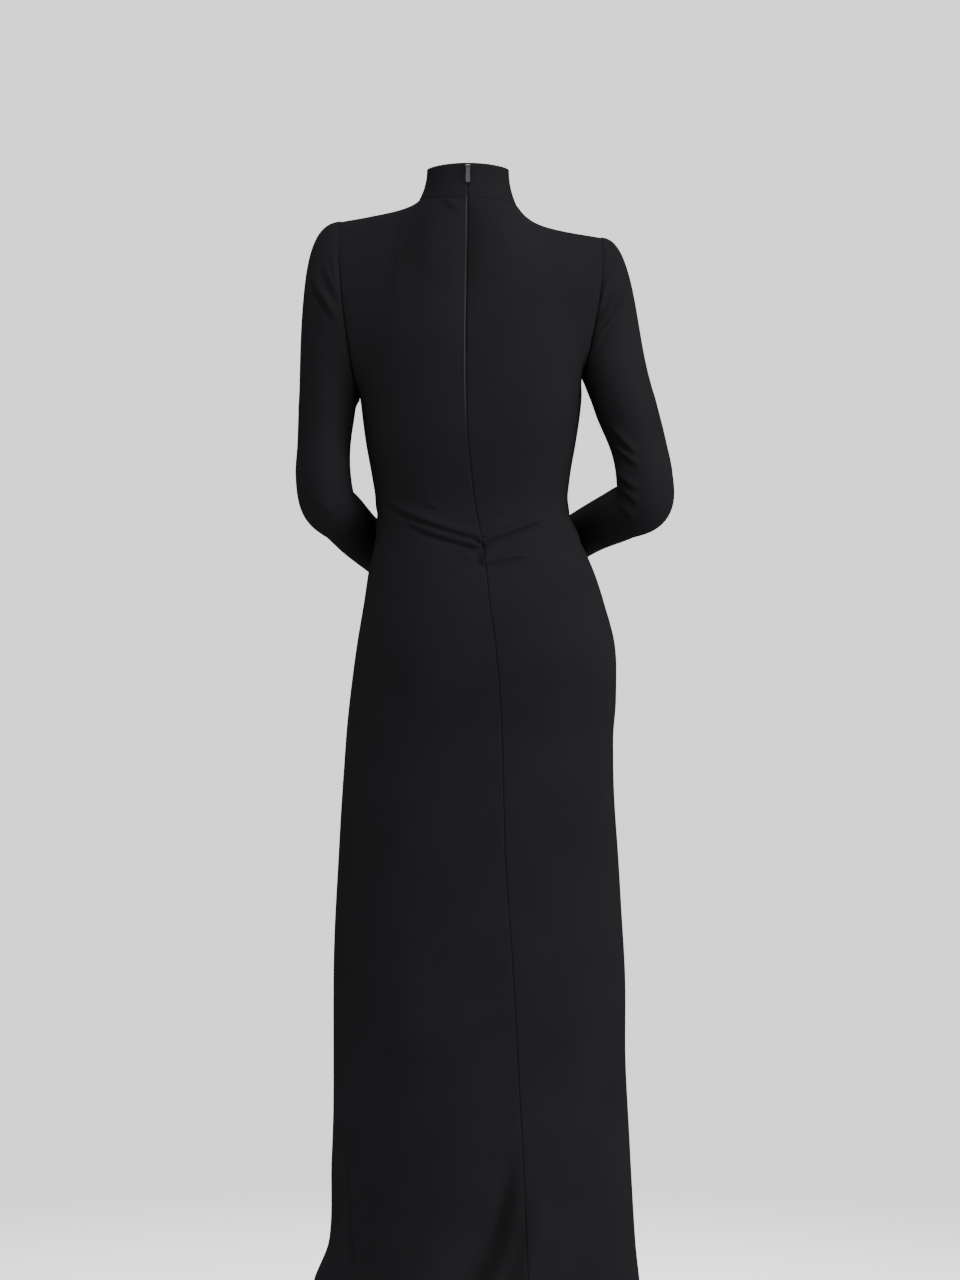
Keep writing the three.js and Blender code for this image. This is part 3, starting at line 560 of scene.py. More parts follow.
def centripetal_line(points, t):
    """Points and directions on a smooth line through the stations of a sleeve."""
    before = 2 * points[0] - points[1]
    after = 2 * points[-1] - points[-2]
    chain = np.vstack([before, points, after])
    place = np.clip(t, 0, 1) * (len(points) - 1)
    k = np.minimum(place.astype(int), len(points) - 2)
    weight = (place - k)[:, None]
    knots = np.linalg.norm(np.diff(chain, axis=0), axis=1) ** 0.5
    p0, p1, p2, p3 = (chain[k + n] for n in range(4))
    d0, d1, d2 = (knots[k + n][:, None] for n in range(3))
    leave = ((p1 - p0) / d0 - (p2 - p0) / (d0 + d1) + (p2 - p1) / d1) * d1
    arrive = ((p2 - p1) / d1 - (p3 - p1) / (d1 + d2) + (p3 - p2) / d2) * d1
    c2 = -3 * p1 + 3 * p2 - 2 * leave - arrive
    c3 = 2 * p1 - 2 * p2 + leave + arrive
    place = p1 + leave * weight + c2 * weight ** 2 + c3 * weight ** 3
    slope = leave + 2 * c2 * weight + 3 * c3 * weight ** 2
    return place, unit(slope)


def arm_rings(sleeve, turns):
    """Rings from the upper arm to the cuff, each square to the sleeve's centre line."""
    side = sleeve["side"]
    stations = sleeve["stations"]
    t = np.linspace(0, 1, ARM_RINGS + 1)
    last = 1 - np.array(NEAR_CUFF) / ARM_LENGTH
    t = np.array(sorted([*t, *last]))
    points = np.stack([stations["x"], stations["y"], stations["z"]], axis=-1)
    centres, alongs = centripetal_line(points, t)
    numbered = dict(stations, k=np.arange(len(points), dtype=float))
    sizes = smooth_read(numbered, "k", t * (len(points) - 1))
    sideways = np.array([side, 0.0, 0.0])
    rings = []
    for centre, along, wide, deep in zip(centres, alongs, sizes["wide"], sizes["deep"]):
        sideways = unit(sideways - along * sideways.dot(along))
        backwards = np.cross(sideways, along) * side
        rings.append(
            centre - sideways * wide * np.cos(turns)[:, None]
            + backwards * deep * np.sin(turns)[:, None]
        )
    return np.array(rings)


def sleeve_grid(sleeve, armhole):
    """A sleeve: the armhole, the cap over the shoulder and the arm down to the cuff."""
    spans = np.linalg.norm(np.roll(armhole, -1, axis=0) - armhole, axis=1)
    half = len(armhole) // 2
    up = np.concatenate([[0], np.cumsum(spans[:half])])
    down = np.concatenate([[0], np.cumsum(spans[half:])])
    by_length = np.concatenate([up[:-1] / up[-1] / 2, 0.5 + down[:-1] / down[-1] / 2])
    turns = 2 * math.pi * by_length
    arm = arm_rings(sleeve, turns)
    direction = unit(arm[2].mean(axis=0) - arm[0].mean(axis=0))
    top = ((1 - np.cos(turns)) / 2)[:, None]
    end = arm[0]
    reach = np.linalg.norm(end - armhole, axis=1, keepdims=True)
    leave = armhole + direction * reach * CAP_EASE["leave"] * (1 - top)
    leave[:, :1] += sleeve["side"] * sleeve["cap_reach"] * top ** 2
    arrive = end - direction * reach * CAP_EASE["arrive"]
    t = np.concatenate([
        np.array(NEAR_SEAM[:-1]) / CAP_LENGTH,
        np.linspace(0, 1, CAP_RINGS + 1)[2:-1],
    ])
    cap = bezier(armhole, leave, arrive, end, np.array(sorted(t)))
    return np.concatenate([cap, arm]), turns


class Piece:
    """A cut piece as a grid of points on its outer face."""

    def __init__(self, name, points, turn=1, tube=False):
        self.name = name
        self.points = points
        self.turn = turn
        self.tube = tube
        self.find_normals()

    def find_normals(self):
        padded = np.pad(self.points, ((1, 1), (0, 0), (0, 0)), mode="edge")
        up = padded[2:] - padded[:-2]
        mode = "wrap" if self.tube else "edge"
        padded = np.pad(self.points, ((0, 0), (1, 1), (0, 0)), mode=mode)
        across = padded[:, 2:] - padded[:, :-2]
        self.normals = unit(np.cross(up, across)) * self.turn

    def edge_distances(self):
        """How far each point lies from the first and last column and the first and last row."""
        across, along = lengths_along(self.points, 1), lengths_along(self.points, 0)
        return across, across[:, -1:] - across, along, along[-1:] - along

    def move_out(self, height):
        self.points = self.points + self.normals * height[..., None]


def share_normals(pieces):
    """Points of different pieces at one place share a normal, so that seams stay closed."""
    places = collections.defaultdict(list)
    for piece in pieces:
        rows, columns = piece.points.shape[:2]
        edge = {(i, j) for i in (0, rows - 1) for j in range(columns)}
        if not piece.tube:
            edge |= {(i, j) for i in range(rows) for j in (0, columns - 1)}
        for i, j in edge:
            key = tuple(np.round(piece.points[i, j], 2))
            places[key].append((piece, i, j))
    for found in places.values():
        if len(found) > 1:
            total = sum(piece.normals[i, j] for piece, i, j in found) / len(found)
            total[2] -= 1 - np.linalg.norm(total)
            for piece, i, j in found:
                piece.normals[i, j] = unit(total)


CREASE_PLANES = {
    "back": (0, 2, 1, 1),
    "front": (0, 2, 1, -1),
    "left": (1, 2, 0, 1),
    "right": (1, 2, 0, -1),
}
# Across its line a level crease falls gently above, steeply below and then into a trough;
# an upright one is the same on both sides
CREASE_SLOPE = 1.7
CREASE_TROUGH = dict(depth=0.5, away=1.8, width=1.0, reach=3.2)
CREASE_POINTS = 15
CREASE_LEVEL = (0.15, 0.5)
CREASE_FADE = (-0.02, 0.4)
CREASE_FACING = (0.02, 0.4)
JOIN_FADE = (0, 4)
ARM_RADIUS = 34.0


def crease_height(crease, places, facing):
    """How far one crease lifts the cloth at each place of its plane."""
    t = np.linspace(0, 1, CREASE_POINTS)[:, None]
    start, middle, end = (np.array(p, float) for p in (crease.start, crease.middle, crease.end))
    bend = 2 * middle - (start + end) / 2
    line = start * (1 - t) ** 2 + 2 * bend * t * (1 - t) + end * t ** 2
    best = np.full(places.shape[:-1], 1e9)
    along = np.zeros_like(best)
    signed = np.zeros_like(best)
    level = np.zeros_like(best)
    for k in range(len(line) - 1):
        run = line[k + 1] - line[k]
        offset = places - line[k]
        share = np.clip(offset @ run / (run @ run), 0, 1)
        away = offset - share[..., None] * run
        distance = np.linalg.norm(away, axis=-1)
        nearer = distance < best
        best = np.where(nearer, distance, best)
        along = np.where(nearer, (k + share) / (len(line) - 1), along)
        signed = np.where(nearer, distance * np.sign(away[..., 1]), signed)
        levelness = abs(run[0]) / np.linalg.norm(run)
        level = np.where(nearer, smooth_step(levelness, *CREASE_LEVEL), level)
    fade = smooth_step(along, *CREASE_FADE)
    if crease.ends == "both":
        fade = fade * smooth_step(1 - along, *CREASE_FADE)
    slope = 1 + (CREASE_SLOPE - 1) * level * (signed > 0)
    ridge = np.exp(-(best / (crease.width * slope)) ** 2)
    from_trough = signed / crease.width + CREASE_TROUGH["away"]
    trough = np.exp(-(from_trough / CREASE_TROUGH["width"]) ** 2) * level
    past = np.maximum(best - CREASE_TROUGH["reach"] * crease.width, 0)
    trough = trough * np.exp(-past / crease.width)
    return crease.height * fade * (ridge - CREASE_TROUGH["depth"] * trough) * facing


def near_joins(piece):
    """Nothing at the edges where pieces with other creases are sewn on, 1 away from them."""
    first, last, low, high = piece.edge_distances()
    if piece.tube:
        return smooth_step(low, *JOIN_FADE)
    joins = smooth_step(high, *JOIN_FADE)
    armhole = piece.points[..., 2] >= UNDERARM_Z + LEAN_RISE - 1
    for edge, centre_back in ((first, "back_left"), (last, "back_right")):
        if piece.name != centre_back:
            joins = joins * np.where(armhole, smooth_step(edge, *JOIN_FADE), 1)
    return joins


def add_creases(piece, creases, depth):
    total = np.zeros(piece.points.shape[:2])
    for side, rows in creases.items():
        first, second, axis, way = CREASE_PLANES[side]
        places = piece.points[..., [first, second]]
        facing = smooth_step(piece.normals[..., axis] * way, *CREASE_FACING)
        for row in rows:
            total += crease_height(Crease(*row), places, facing)
    piece.move_out(total * depth * near_joins(piece))


def add_arm_creases(piece, turns, creases, depth):
    """Creases round the arm, in millimetres round it and along it from the first arm ring."""
    ring = len(piece.points) - ARM_RINGS - 1 - len(NEAR_CUFF)
    middles = piece.points.mean(axis=1)
    lengths = np.concatenate([[0], np.cumsum(np.linalg.norm(np.diff(middles, axis=0), axis=1))])
    lengths = lengths - lengths[ring]
    total = np.zeros(piece.points.shape[:2])
    for row in creases:
        crease = Crease(*row)
        centre = crease.middle[0]
        round_arm = (np.degrees(turns) - centre + 180) % 360 - 180 + centre
        places = np.stack(np.broadcast_arrays(
            np.radians(round_arm)[None, :] * ARM_RADIUS, -lengths[:, None],
        ), axis=-1)
        line = [(math.radians(a) * ARM_RADIUS, -b) for a, b in crease[:3]]
        moved = crease._replace(start=line[0], middle=line[1], end=line[2])
        total += crease_height(moved, places, 1.0)
    piece.move_out(total * depth * near_joins(piece))


# The slight waves of limp cloth, in millimetres
LIMPNESS = dict(
    amount=0.125, waves=14, way=(1.3, 1.3, 0.7), shortest=70, longest=190, seed=7,
)


def soften(piece):
    """The slight unevenness of limp cloth, the same wherever two pieces meet."""
    rng = np.random.default_rng(LIMPNESS["seed"])
    total = np.zeros(piece.points.shape[:2])
    for _ in range(LIMPNESS["waves"]):
        way = unit(rng.normal(size=3) * np.array(LIMPNESS["way"]))
        length = rng.uniform(LIMPNESS["shortest"], LIMPNESS["longest"])
        phase = rng.uniform(0, 2 * math.pi)
        total += np.sin(piece.points @ way * (2 * math.pi / length) + phase)
    piece.move_out(total * LIMPNESS["amount"])


def seam_dip(distance, depth, width):
    return -depth * np.exp(-(distance / width) ** 2)


@functools.lru_cache(maxsize=1)
def cloth_forms(crease_depth, seam_depth):
    """All the cut pieces as worn, in millimetres."""
    places = column_places()
    halves = {
        (name, on_back): half_panel(shoulder, places, on_back)
        for name, shoulder in SHOULDERS.items() for on_back in (True, False)
    }
    front = np.concatenate(
        [halves["left", False][:, ::-1], halves["right", False][:, 1:]], axis=1,
    )
    pieces = {
        "back_left": Piece("back_left", halves["left", True]),
        "back_right": Piece("back_right", halves["right", True][:, ::-1]),
        "front": Piece("front", front),
    }
    underarm = len(row_heights()) - 1
    for name, sleeve in SLEEVES.items():
        back = halves[name, True][underarm:, -1]
        ahead = halves[name, False][underarm:, -1]
        armhole = np.concatenate([back, ahead[1:-1][::-1]])
        grid, turns = sleeve_grid(sleeve, armhole)
        piece = Piece("sleeve_" + name, grid, turn=-sleeve["side"], tube=True)
        piece.turns = turns
        pieces[piece.name] = piece
    neck_places = places[places <= NECK_COLUMNS]
    pieces["collar"] = Piece("collar", collar_grid(neck_places))
    everything = list(pieces.values())
    share_normals(everything)
    for piece in everything:
        soften(piece)
    for name in ("back_left", "back_right", "front"):
        add_creases(pieces[name], BODY_CREASES, crease_depth)
    for name in SLEEVES:
        piece = pieces["sleeve_" + name]
        add_creases(piece, SLEEVE_CREASES[name], crease_depth)
        add_arm_creases(piece, piece.turns, ARM_CREASES, crease_depth)
    for piece in everything:
        piece.find_normals()
    share_normals(everything)
    for piece in everything:
        shape_seams(piece, seam_depth)
    return pieces


# Over the shoulder the seam of the sleeve lies less deep
SHOULDER_TOP = dict(share=0.7, low=-110, high=-30)
SEAM_WIDTH = 1.1
SLEEVE_PROUD = dict(away=5, height=0.25, width=3.0)
ARM_SEAM = dict(share=0.6, column=1.9, width=1.6, fade=8)
COLLAR_SEAM = dict(share=0.6, width=1.2)
TOP_SEAM = dict(share=0.4, width=1.2)

# Rows of stitches above the fold of the hem and of the cuff, and how far they draw it in
HEM_ROWS = (18, 22.5)
HEM_DIP = (0.4, 1.4)
CUFF_ROWS = (16, 19.5)
CUFF_DIP = (0.35, 1.2)
TURN_UP_GAP = 1.25
COLLAR_TURN_IN = 22


def shape_seams(piece, depth):
    """Rolls the edges in at the seams, with the cloth a little proud beside some of them."""
    first, last, low, high = piece.edge_distances()
    total = np.zeros(piece.points.shape[:2])
    top = smooth_step(piece.points[..., 2], SHOULDER_TOP["low"], SHOULDER_TOP["high"])
    armhole = depth * (1 - SHOULDER_TOP["share"] * top)
    if piece.tube:
        proud = low - SLEEVE_PROUD["away"]
        proud = seam_dip(proud, SLEEVE_PROUD["height"], SLEEVE_PROUD["width"]) * (1 - top)
        total += seam_dip(low, armhole, SEAM_WIDTH) - proud
        columns = np.arange(piece.points.shape[1])
        around = np.minimum(columns, len(columns) - columns)[None, :] * ARM_SEAM["column"]
        underarm = seam_dip(around, depth * ARM_SEAM["share"], ARM_SEAM["width"])
        total += underarm * smooth_step(low, 0, ARM_SEAM["fade"])
        for row in CUFF_ROWS:
            total += seam_dip(high - row, *CUFF_DIP)
    elif piece.name == "collar":
        total += seam_dip(low, depth * COLLAR_SEAM["share"], COLLAR_SEAM["width"])
        total += seam_dip(first, depth, SEAM_WIDTH) + seam_dip(last, depth, SEAM_WIDTH)
    else:
        at_first, at_last = armhole, armhole
        if piece.name == "back_left":
            at_first = depth
        elif piece.name == "back_right":
            at_last = depth
        total += seam_dip(first, at_first, SEAM_WIDTH) + seam_dip(last, at_last, SEAM_WIDTH)
        total += seam_dip(high, depth * TOP_SEAM["share"], TOP_SEAM["width"])
        for row in HEM_ROWS:
            total += seam_dip(low - row, *HEM_DIP)
    if piece.name == "back_left":
        total += zip_lip(piece) * ZIP_LIP["height"]
    piece.move_out(total)


def zip_lip(piece):
    """The rolled edge beside the zip: 1 along its top, nothing away from it."""
    first = piece.edge_distances()[0]
    upper = smooth_step(piece.points[..., 2], ZIP_LIP["fades"], ZIP_LIP["full"])
    return np.exp(-((first - ZIP_LIP["away"]) / ZIP_LIP["width"]) ** 2) * upper


def with_turn_up(piece, at_end, depth):
    """Adds the hem that is turned up inside the first or last row of a piece."""
    points = piece.points[::-1] if at_end else piece.points
    normals = piece.normals[::-1] if at_end else piece.normals
    along = np.cumsum(np.linalg.norm(np.diff(points, axis=0), axis=2).mean(axis=1))
    count = int(np.searchsorted(along, depth)) + 2
    inside = points[1:count] - normals[1:count] * TURN_UP_GAP
    outward = unit(points[0] - points[1])
    fold = points[0] + (outward - normals[0]) * TURN_UP_GAP / 2
    grid = np.concatenate([inside[::-1], fold[None], points])
    return grid[::-1] if at_end else grid


def grid_normals(points, turn, tube):
    return Piece("", points, turn, tube).normals


def shell_object(name, points, turn, tube, thickness, material):
    """A thin closed wall of cloth whose outer face is the grid of points."""
    rows, columns = points.shape[:2]
    normals = grid_normals(points, turn, tube)
    outer = points.reshape(-1, 3)
    inner = outer - normals.reshape(-1, 3) * thickness
    vertices = np.concatenate([outer, inner]) * MM
    across = columns if tube else columns - 1
    closed = np.concatenate([points, points[:, :1]], axis=1) if tube else points
    u, v = lengths_along(closed, 1), lengths_along(closed, 0)
    u = u - u[:, [u.shape[1] // 2]]
    i, j = np.meshgrid(np.arange(rows - 1), np.arange(across), indexing="ij")
    i, j = i.ravel(), j.ravel()

    def corner(a, b):
        return np.stack([a, b], axis=-1)

    def quads(*corners):
        return np.stack(corners, axis=1)

    face = quads(corner(i, j), corner(i + 1, j), corner(i + 1, j + 1), corner(i, j + 1))
    if turn < 0:
        face = face[:, ::-1]
    layers = [(face, 0, 0, 0, 0), (face[:, ::-1], 1, 1, 1, 1)]

    def rim(p, q):
        band = quads(q, p, p, q)
        way = (0, 0, 1, 1)
        if turn < 0:
            band, way = band[:, ::-1], way[::-1]
        layers.append((band, *way))

    j = np.arange(across)
    low, high = np.zeros_like(j), np.full_like(j, rows - 1)
    rim(corner(low, j + 1), corner(low, j))
    rim(corner(high, j), corner(high, j + 1))
    if not tube:
        i = np.arange(rows - 1)
        start, end = np.zeros_like(i), np.full_like(i, columns - 1)
        rim(corner(i, start), corner(i + 1, start))
        rim(corner(i + 1, end), corner(i, end))
    indices, coordinates = [], []
    for band, *way in layers:
        way = np.array(way)
        indices.append(band[..., 0] * columns + band[..., 1] % columns + way * rows * columns)
        coordinates.append(np.stack([
            u[band[..., 0], band[..., 1]], v[band[..., 0], band[..., 1]],
        ], axis=-1))
    indices = np.concatenate(indices)
    coordinates = np.concatenate(coordinates).reshape(-1, 2) * MM
    mesh = bpy.data.meshes.new(name)
    mesh.from_pydata(vertices.tolist(), [], indices.tolist())
    layer = mesh.uv_layers.new(name="cloth")
    layer.data.foreach_set("uv", coordinates.ravel())
    mesh.polygons.foreach_set("use_smooth", np.ones(len(mesh.polygons), bool))
    mesh.materials.append(material)
    mesh.validate()
    mesh.update()
    return link(bpy.data.objects.new(name, mesh))


def link(obj):
    bpy.context.scene.collection.objects.link(obj)
    return obj


def add_node(tree, kind, values=None, **settings):
    """A node with its settings and the values of its inputs, by name or number."""
    node = tree.nodes.new(kind)
    for name, value in settings.items():
        setattr(node, name, value)
    for name, value in (values or {}).items():
        node.inputs[name].default_value = value
    return node


def new_material(name):
    material = bpy.data.materials.new(name)
    material.use_nodes = True
    tree = material.node_tree
    shader = tree.nodes["Principled BSDF"]
    return material, tree, shader


def maths(tree, operation, first, second=None):
    """A maths node on sockets or plain numbers; gives its result socket."""
    node = add_node(tree, "ShaderNodeMath", operation=operation)
    for socket, value in zip(node.inputs, (first, second)):
        if value is None:
            continue
        if isinstance(value, (int, float)):
            socket.default_value = value
        else:
            tree.links.new(value, socket)
    return node.outputs[0]


def knit_height(tree, wale, course):
    """Fine knit: columns of small V shapes on the piece's own coordinates."""
    place = add_node(tree, "ShaderNodeUVMap", uv_map="cloth")
    split = add_node(tree, "ShaderNodeSeparateXYZ")
    tree.links.new(place.outputs[0], split.inputs[0])
    column = maths(tree, "FRACT", maths(tree, "DIVIDE", split.outputs[0], wale))
    lean = maths(tree, "ABSOLUTE", maths(tree, "SUBTRACT", column, 0.5))
    row = maths(tree, "DIVIDE", split.outputs[1], course)
    row = maths(tree, "ADD", row, maths(tree, "MULTIPLY", lean, 1.1))
    loops = maths(tree, "SINE", maths(tree, "MULTIPLY", row, 2 * math.pi))
    ribs = maths(tree, "SINE", maths(tree, "MULTIPLY", column, math.pi))
    return maths(tree, "ADD", ribs, maths(tree, "MULTIPLY", loops, 0.35))


def mottle(tree, scale, detail):
    """Slow variation over the whole piece."""
    place = add_node(tree, "ShaderNodeTexCoord")
    noise = add_node(tree, "ShaderNodeTexNoise", {"Scale": scale, "Detail": detail})
    tree.links.new(place.outputs["Object"], noise.inputs["Vector"])
    return noise.outputs["Fac"]


def spread(tree, value, low, high):
    node = add_node(tree, "ShaderNodeMapRange", {"To Min": low, "To Max": high})
    tree.links.new(value, node.inputs["Value"])
    return node.outputs["Result"]


def tinted(tree, factor, dark, light):
    node = add_node(tree, "ShaderNodeMix", data_type="RGBA")
    node.inputs[6].default_value = (*dark, 1)
    node.inputs[7].default_value = (*light, 1)
    tree.links.new(factor, node.inputs[0])
    return node.outputs[2]


def scaled(colour, factor):
    return tuple(min(1.0, channel * factor) for channel in colour)


# Painted highlight: how many times lighter the jersey's colour is made along the rolled edge
# beside the zip, standing in for the glint of light on it
EDGE_HIGHLIGHT_GAIN = 3.0


def jersey_material(colour):
    """Black jersey: a dense, fine and matt knit, with a painted highlight along the rolled edge
    beside the zip.
    """
    material, tree, shader = new_material("Jersey")
    patches = mottle(tree, 9.0, 3.0)
    # The base colour is made lighter where the mask of the painted highlight is set, standing in
    # for light caught on the rolled edge
    rolled = add_node(tree, "ShaderNodeAttribute")
    rolled.attribute_name = "painted_edge_highlight"
    highlighted = tinted(tree, rolled.outputs["Fac"], colour, scaled(colour, EDGE_HIGHLIGHT_GAIN))
    tree.links.new(
        tinted(tree, patches, scaled(colour, 0.82), scaled(colour, 1.2)),
        highlighted.node.inputs[6],
    )
    tree.links.new(highlighted, shader.inputs["Base Color"])
    tree.links.new(
        spread(tree, mottle(tree, 30.0, 4.0), 0.5, 0.6), shader.inputs["Roughness"],
    )
    shader.inputs["Specular IOR Level"].default_value = 0.0
    bump = add_node(tree, "ShaderNodeBump", {"Strength": 0.35, "Distance": 0.00006})
    tree.links.new(knit_height(tree, 0.00062, 0.00048), bump.inputs["Height"])
    tree.links.new(bump.outputs[0], shader.inputs["Normal"])
    return material


def thread_material(colour):
    """Twisted polyester thread."""
    material, tree, shader = new_material("Sewing thread")
    tree.links.new(
        tinted(tree, mottle(tree, 900.0, 1.0), scaled(colour, 0.7), scaled(colour, 1.4)),
        shader.inputs["Base Color"],
    )
    shader.inputs["Roughness"].default_value = 0.6
    shader.inputs["Specular IOR Level"].default_value = 0.15
    return material


def tape_material(colour):
    """Woven zip tape with a fine rib along it."""
    material, tree, shader = new_material("Zip tape")
    tree.links.new(
        tinted(tree, mottle(tree, 400.0, 2.0), scaled(colour, 0.8), scaled(colour, 1.25)),
        shader.inputs["Base Color"],
    )
    shader.inputs["Roughness"].default_value = 0.8
    shader.inputs["Specular IOR Level"].default_value = 0.15
    bump = add_node(tree, "ShaderNodeBump", {"Strength": 0.5, "Distance": 0.0001})
    tree.links.new(knit_height(tree, 0.0009, 0.0005), bump.inputs["Height"])
    tree.links.new(bump.outputs[0], shader.inputs["Normal"])
    return material


def metal_material(colour):
    """Black enamel on the slider and its tab, rubbed a little."""
    material, tree, shader = new_material("Black enamel")
    wear = mottle(tree, 700.0, 4.0)
    tree.links.new(
        tinted(tree, wear, scaled(colour, 0.8), scaled(colour, 1.5)),
        shader.inputs["Base Color"],
    )
    tree.links.new(spread(tree, wear, 0.25, 0.42), shader.inputs["Roughness"])
    shader.inputs["Metallic"].default_value = 0.6
    shader.inputs["Coat Weight"].default_value = 0.4
    shader.inputs["Coat Roughness"].default_value = 0.12
    return material


def floor_material(colour, clear, faded):
    """Pale studio floor that fades into the surroundings away from the dress."""
    material, tree, shader = new_material("Pale floor")
    tree.links.new(
        tinted(tree, mottle(tree, 1.5, 2.0), scaled(colour, 0.98), colour),
        shader.inputs["Base Color"],
    )
    shader.inputs["Roughness"].default_value = 0.9
    place = add_node(tree, "ShaderNodeTexCoord")
    length = add_node(tree, "ShaderNodeVectorMath", operation="LENGTH")
    flat = add_node(tree, "ShaderNodeVectorMath", operation="MULTIPLY")
    flat.inputs[1].default_value = (1, 1, 0)
    tree.links.new(place.outputs["Object"], flat.inputs[0])
    tree.links.new(flat.outputs[0], length.inputs[0])
    fade = add_node(
        tree, "ShaderNodeMapRange", {"From Min": clear, "From Max": faded},
        interpolation_type="SMOOTHSTEP",
    )
    tree.links.new(length.outputs["Value"], fade.inputs["Value"])
    nothing = add_node(tree, "ShaderNodeBsdfTransparent")
    mixed = add_node(tree, "ShaderNodeMixShader")
    tree.links.new(fade.outputs["Result"], mixed.inputs[0])
    tree.links.new(shader.outputs[0], mixed.inputs[1])
    tree.links.new(nothing.outputs[0], mixed.inputs[2])
    tree.links.new(mixed.outputs[0], tree.nodes["Material Output"].inputs["Surface"])
    return material


def material_once(make, name, *values):
    """The named material, made on first use."""
    return bpy.data.materials.get(name) or make(*values)


def repeat_tree(name, seed=3):
    """Geometry nodes that set one small rounded link after another along a path."""
    tree = bpy.data.node_groups.new(name, "GeometryNodeTree")
    sockets = tree.interface
    sockets.new_socket("Geometry", in_out="INPUT", socket_type="NodeSocketGeometry")
    for label in ("Spacing", "Length", "Width", "Thickness", "Unevenness"):
        sockets.new_socket(label, in_out="INPUT", socket_type="NodeSocketFloat")
    sockets.new_socket("Material", in_out="INPUT", socket_type="NodeSocketMaterial")
    sockets.new_socket("Geometry", in_out="OUTPUT", socket_type="NodeSocketGeometry")
    source = tree.nodes.new("NodeGroupInput")
    target = tree.nodes.new("NodeGroupOutput")
    line = tree.nodes.new("GeometryNodeMeshToCurve")
    spaced = add_node(tree, "GeometryNodeResampleCurve", mode="LENGTH")
    link_mesh = add_node(tree, "GeometryNodeMeshUVSphere", {
        "Segments": 6, "Rings": 4, "Radius": 0.5,
    })
    size = tree.nodes.new("ShaderNodeCombineXYZ")
    shaped = tree.nodes.new("GeometryNodeTransform")
    tangent = tree.nodes.new("GeometryNodeInputTangent")
    normal = tree.nodes.new("GeometryNodeInputNormal")
    along = add_node(tree, "FunctionNodeAlignRotationToVector", axis="Z")
    upright = add_node(tree, "FunctionNodeAlignRotationToVector", axis="Y", pivot_axis="Z")
    placed = tree.nodes.new("GeometryNodeInstanceOnPoints")
    uneven = add_node(tree, "FunctionNodeRandomValue", data_type="FLOAT")
    uneven.inputs["Seed"].default_value = seed
    least = add_node(tree, "ShaderNodeMath", operation="SUBTRACT")
    least.inputs[0].default_value = 1.0
    real = tree.nodes.new("GeometryNodeRealizeInstances")
    finish = tree.nodes.new("GeometryNodeSetMaterial")
    join = tree.links.new
    join(source.outputs["Geometry"], line.inputs[0])
    join(line.outputs[0], spaced.inputs["Curve"])
    join(source.outputs["Spacing"], spaced.inputs["Length"])
    join(source.outputs["Thickness"], size.inputs[0])
    join(source.outputs["Width"], size.inputs[1])
    join(source.outputs["Length"], size.inputs[2])
    join(link_mesh.outputs[0], shaped.inputs["Geometry"])
    join(size.outputs[0], shaped.inputs["Scale"])
    join(tangent.outputs[0], along.inputs["Vector"])
    join(along.outputs[0], upright.inputs["Rotation"])
    join(normal.outputs[0], upright.inputs["Vector"])
    join(source.outputs["Unevenness"], least.inputs[1])
    join(least.outputs[0], uneven.inputs[2])
    uneven.inputs[3].default_value = 1.0
    join(spaced.outputs[0], placed.inputs["Points"])
    join(shaped.outputs[0], placed.inputs["Instance"])
    join(upright.outputs[0], placed.inputs["Rotation"])
    join(uneven.outputs[1], placed.inputs["Scale"])
    join(placed.outputs[0], real.inputs[0])
    join(real.outputs[0], finish.inputs["Geometry"])
    join(source.outputs["Material"], finish.inputs["Material"])
    join(finish.outputs[0], target.inputs[0])
    return tree


def repeat_along(name, paths, sizes, material):
    """Links along paths of points in millimetres, as one plain mesh."""
    vertices, edges = [], []
    for path in paths:
        start = len(vertices)
        vertices += (np.asarray(path) * MM).tolist()
        edges += [(start + k, start + k + 1) for k in range(len(path) - 1)]
    mesh = bpy.data.meshes.new(name + "_path")
    mesh.from_pydata(vertices, edges, [])
    line = link(bpy.data.objects.new(name + "_path", mesh))
    modifier = line.modifiers.new("Links", "NODES")
    tree = bpy.data.node_groups.get("Links along a path") or repeat_tree("Links along a path")
    modifier.node_group = tree
    values = dict(sizes, Material=material)
    for item in tree.interface.items_tree:
        if item.in_out == "INPUT" and item.name in values:
            modifier[item.identifier] = values[item.name]
    graph = bpy.context.evaluated_depsgraph_get()
    made = bpy.data.meshes.new_from_object(line.evaluated_get(graph))
    made.name = name
    made.polygons.foreach_set("use_smooth", np.ones(len(made.polygons), bool))
    line.modifiers.remove(modifier)
    bpy.data.objects.remove(line)
    return link(bpy.data.objects.new(name, made))


class ClothSizes(bpy.types.PropertyGroup):
    thickness: bpy.props.FloatProperty(
        name="Cloth thickness", description="Thickness of the jersey",
        default=0.0006, min=0.0002, max=0.0014, unit="LENGTH", precision=5,
    )
    crease_depth: bpy.props.FloatProperty(
        name="Crease depth", description="How deep the creases are, 1 as worn",
        default=1.0, min=0.0, max=2.0,
    )
    seam_depth: bpy.props.FloatProperty(
        name="Seam depth", description="How far the cloth rolls in at a seam",
        default=0.001, min=0.0, max=0.003, unit="LENGTH", precision=5,
    )
    hem: bpy.props.FloatProperty(
        name="Hem", description="Depth of the turned-up hem",
        default=0.024, min=0.005, max=0.06, unit="LENGTH",
    )
    cuff: bpy.props.FloatProperty(
        name="Cuff", description="Depth of the turned-in cuff",
        default=0.021, min=0.005, max=0.05, unit="LENGTH",
    )


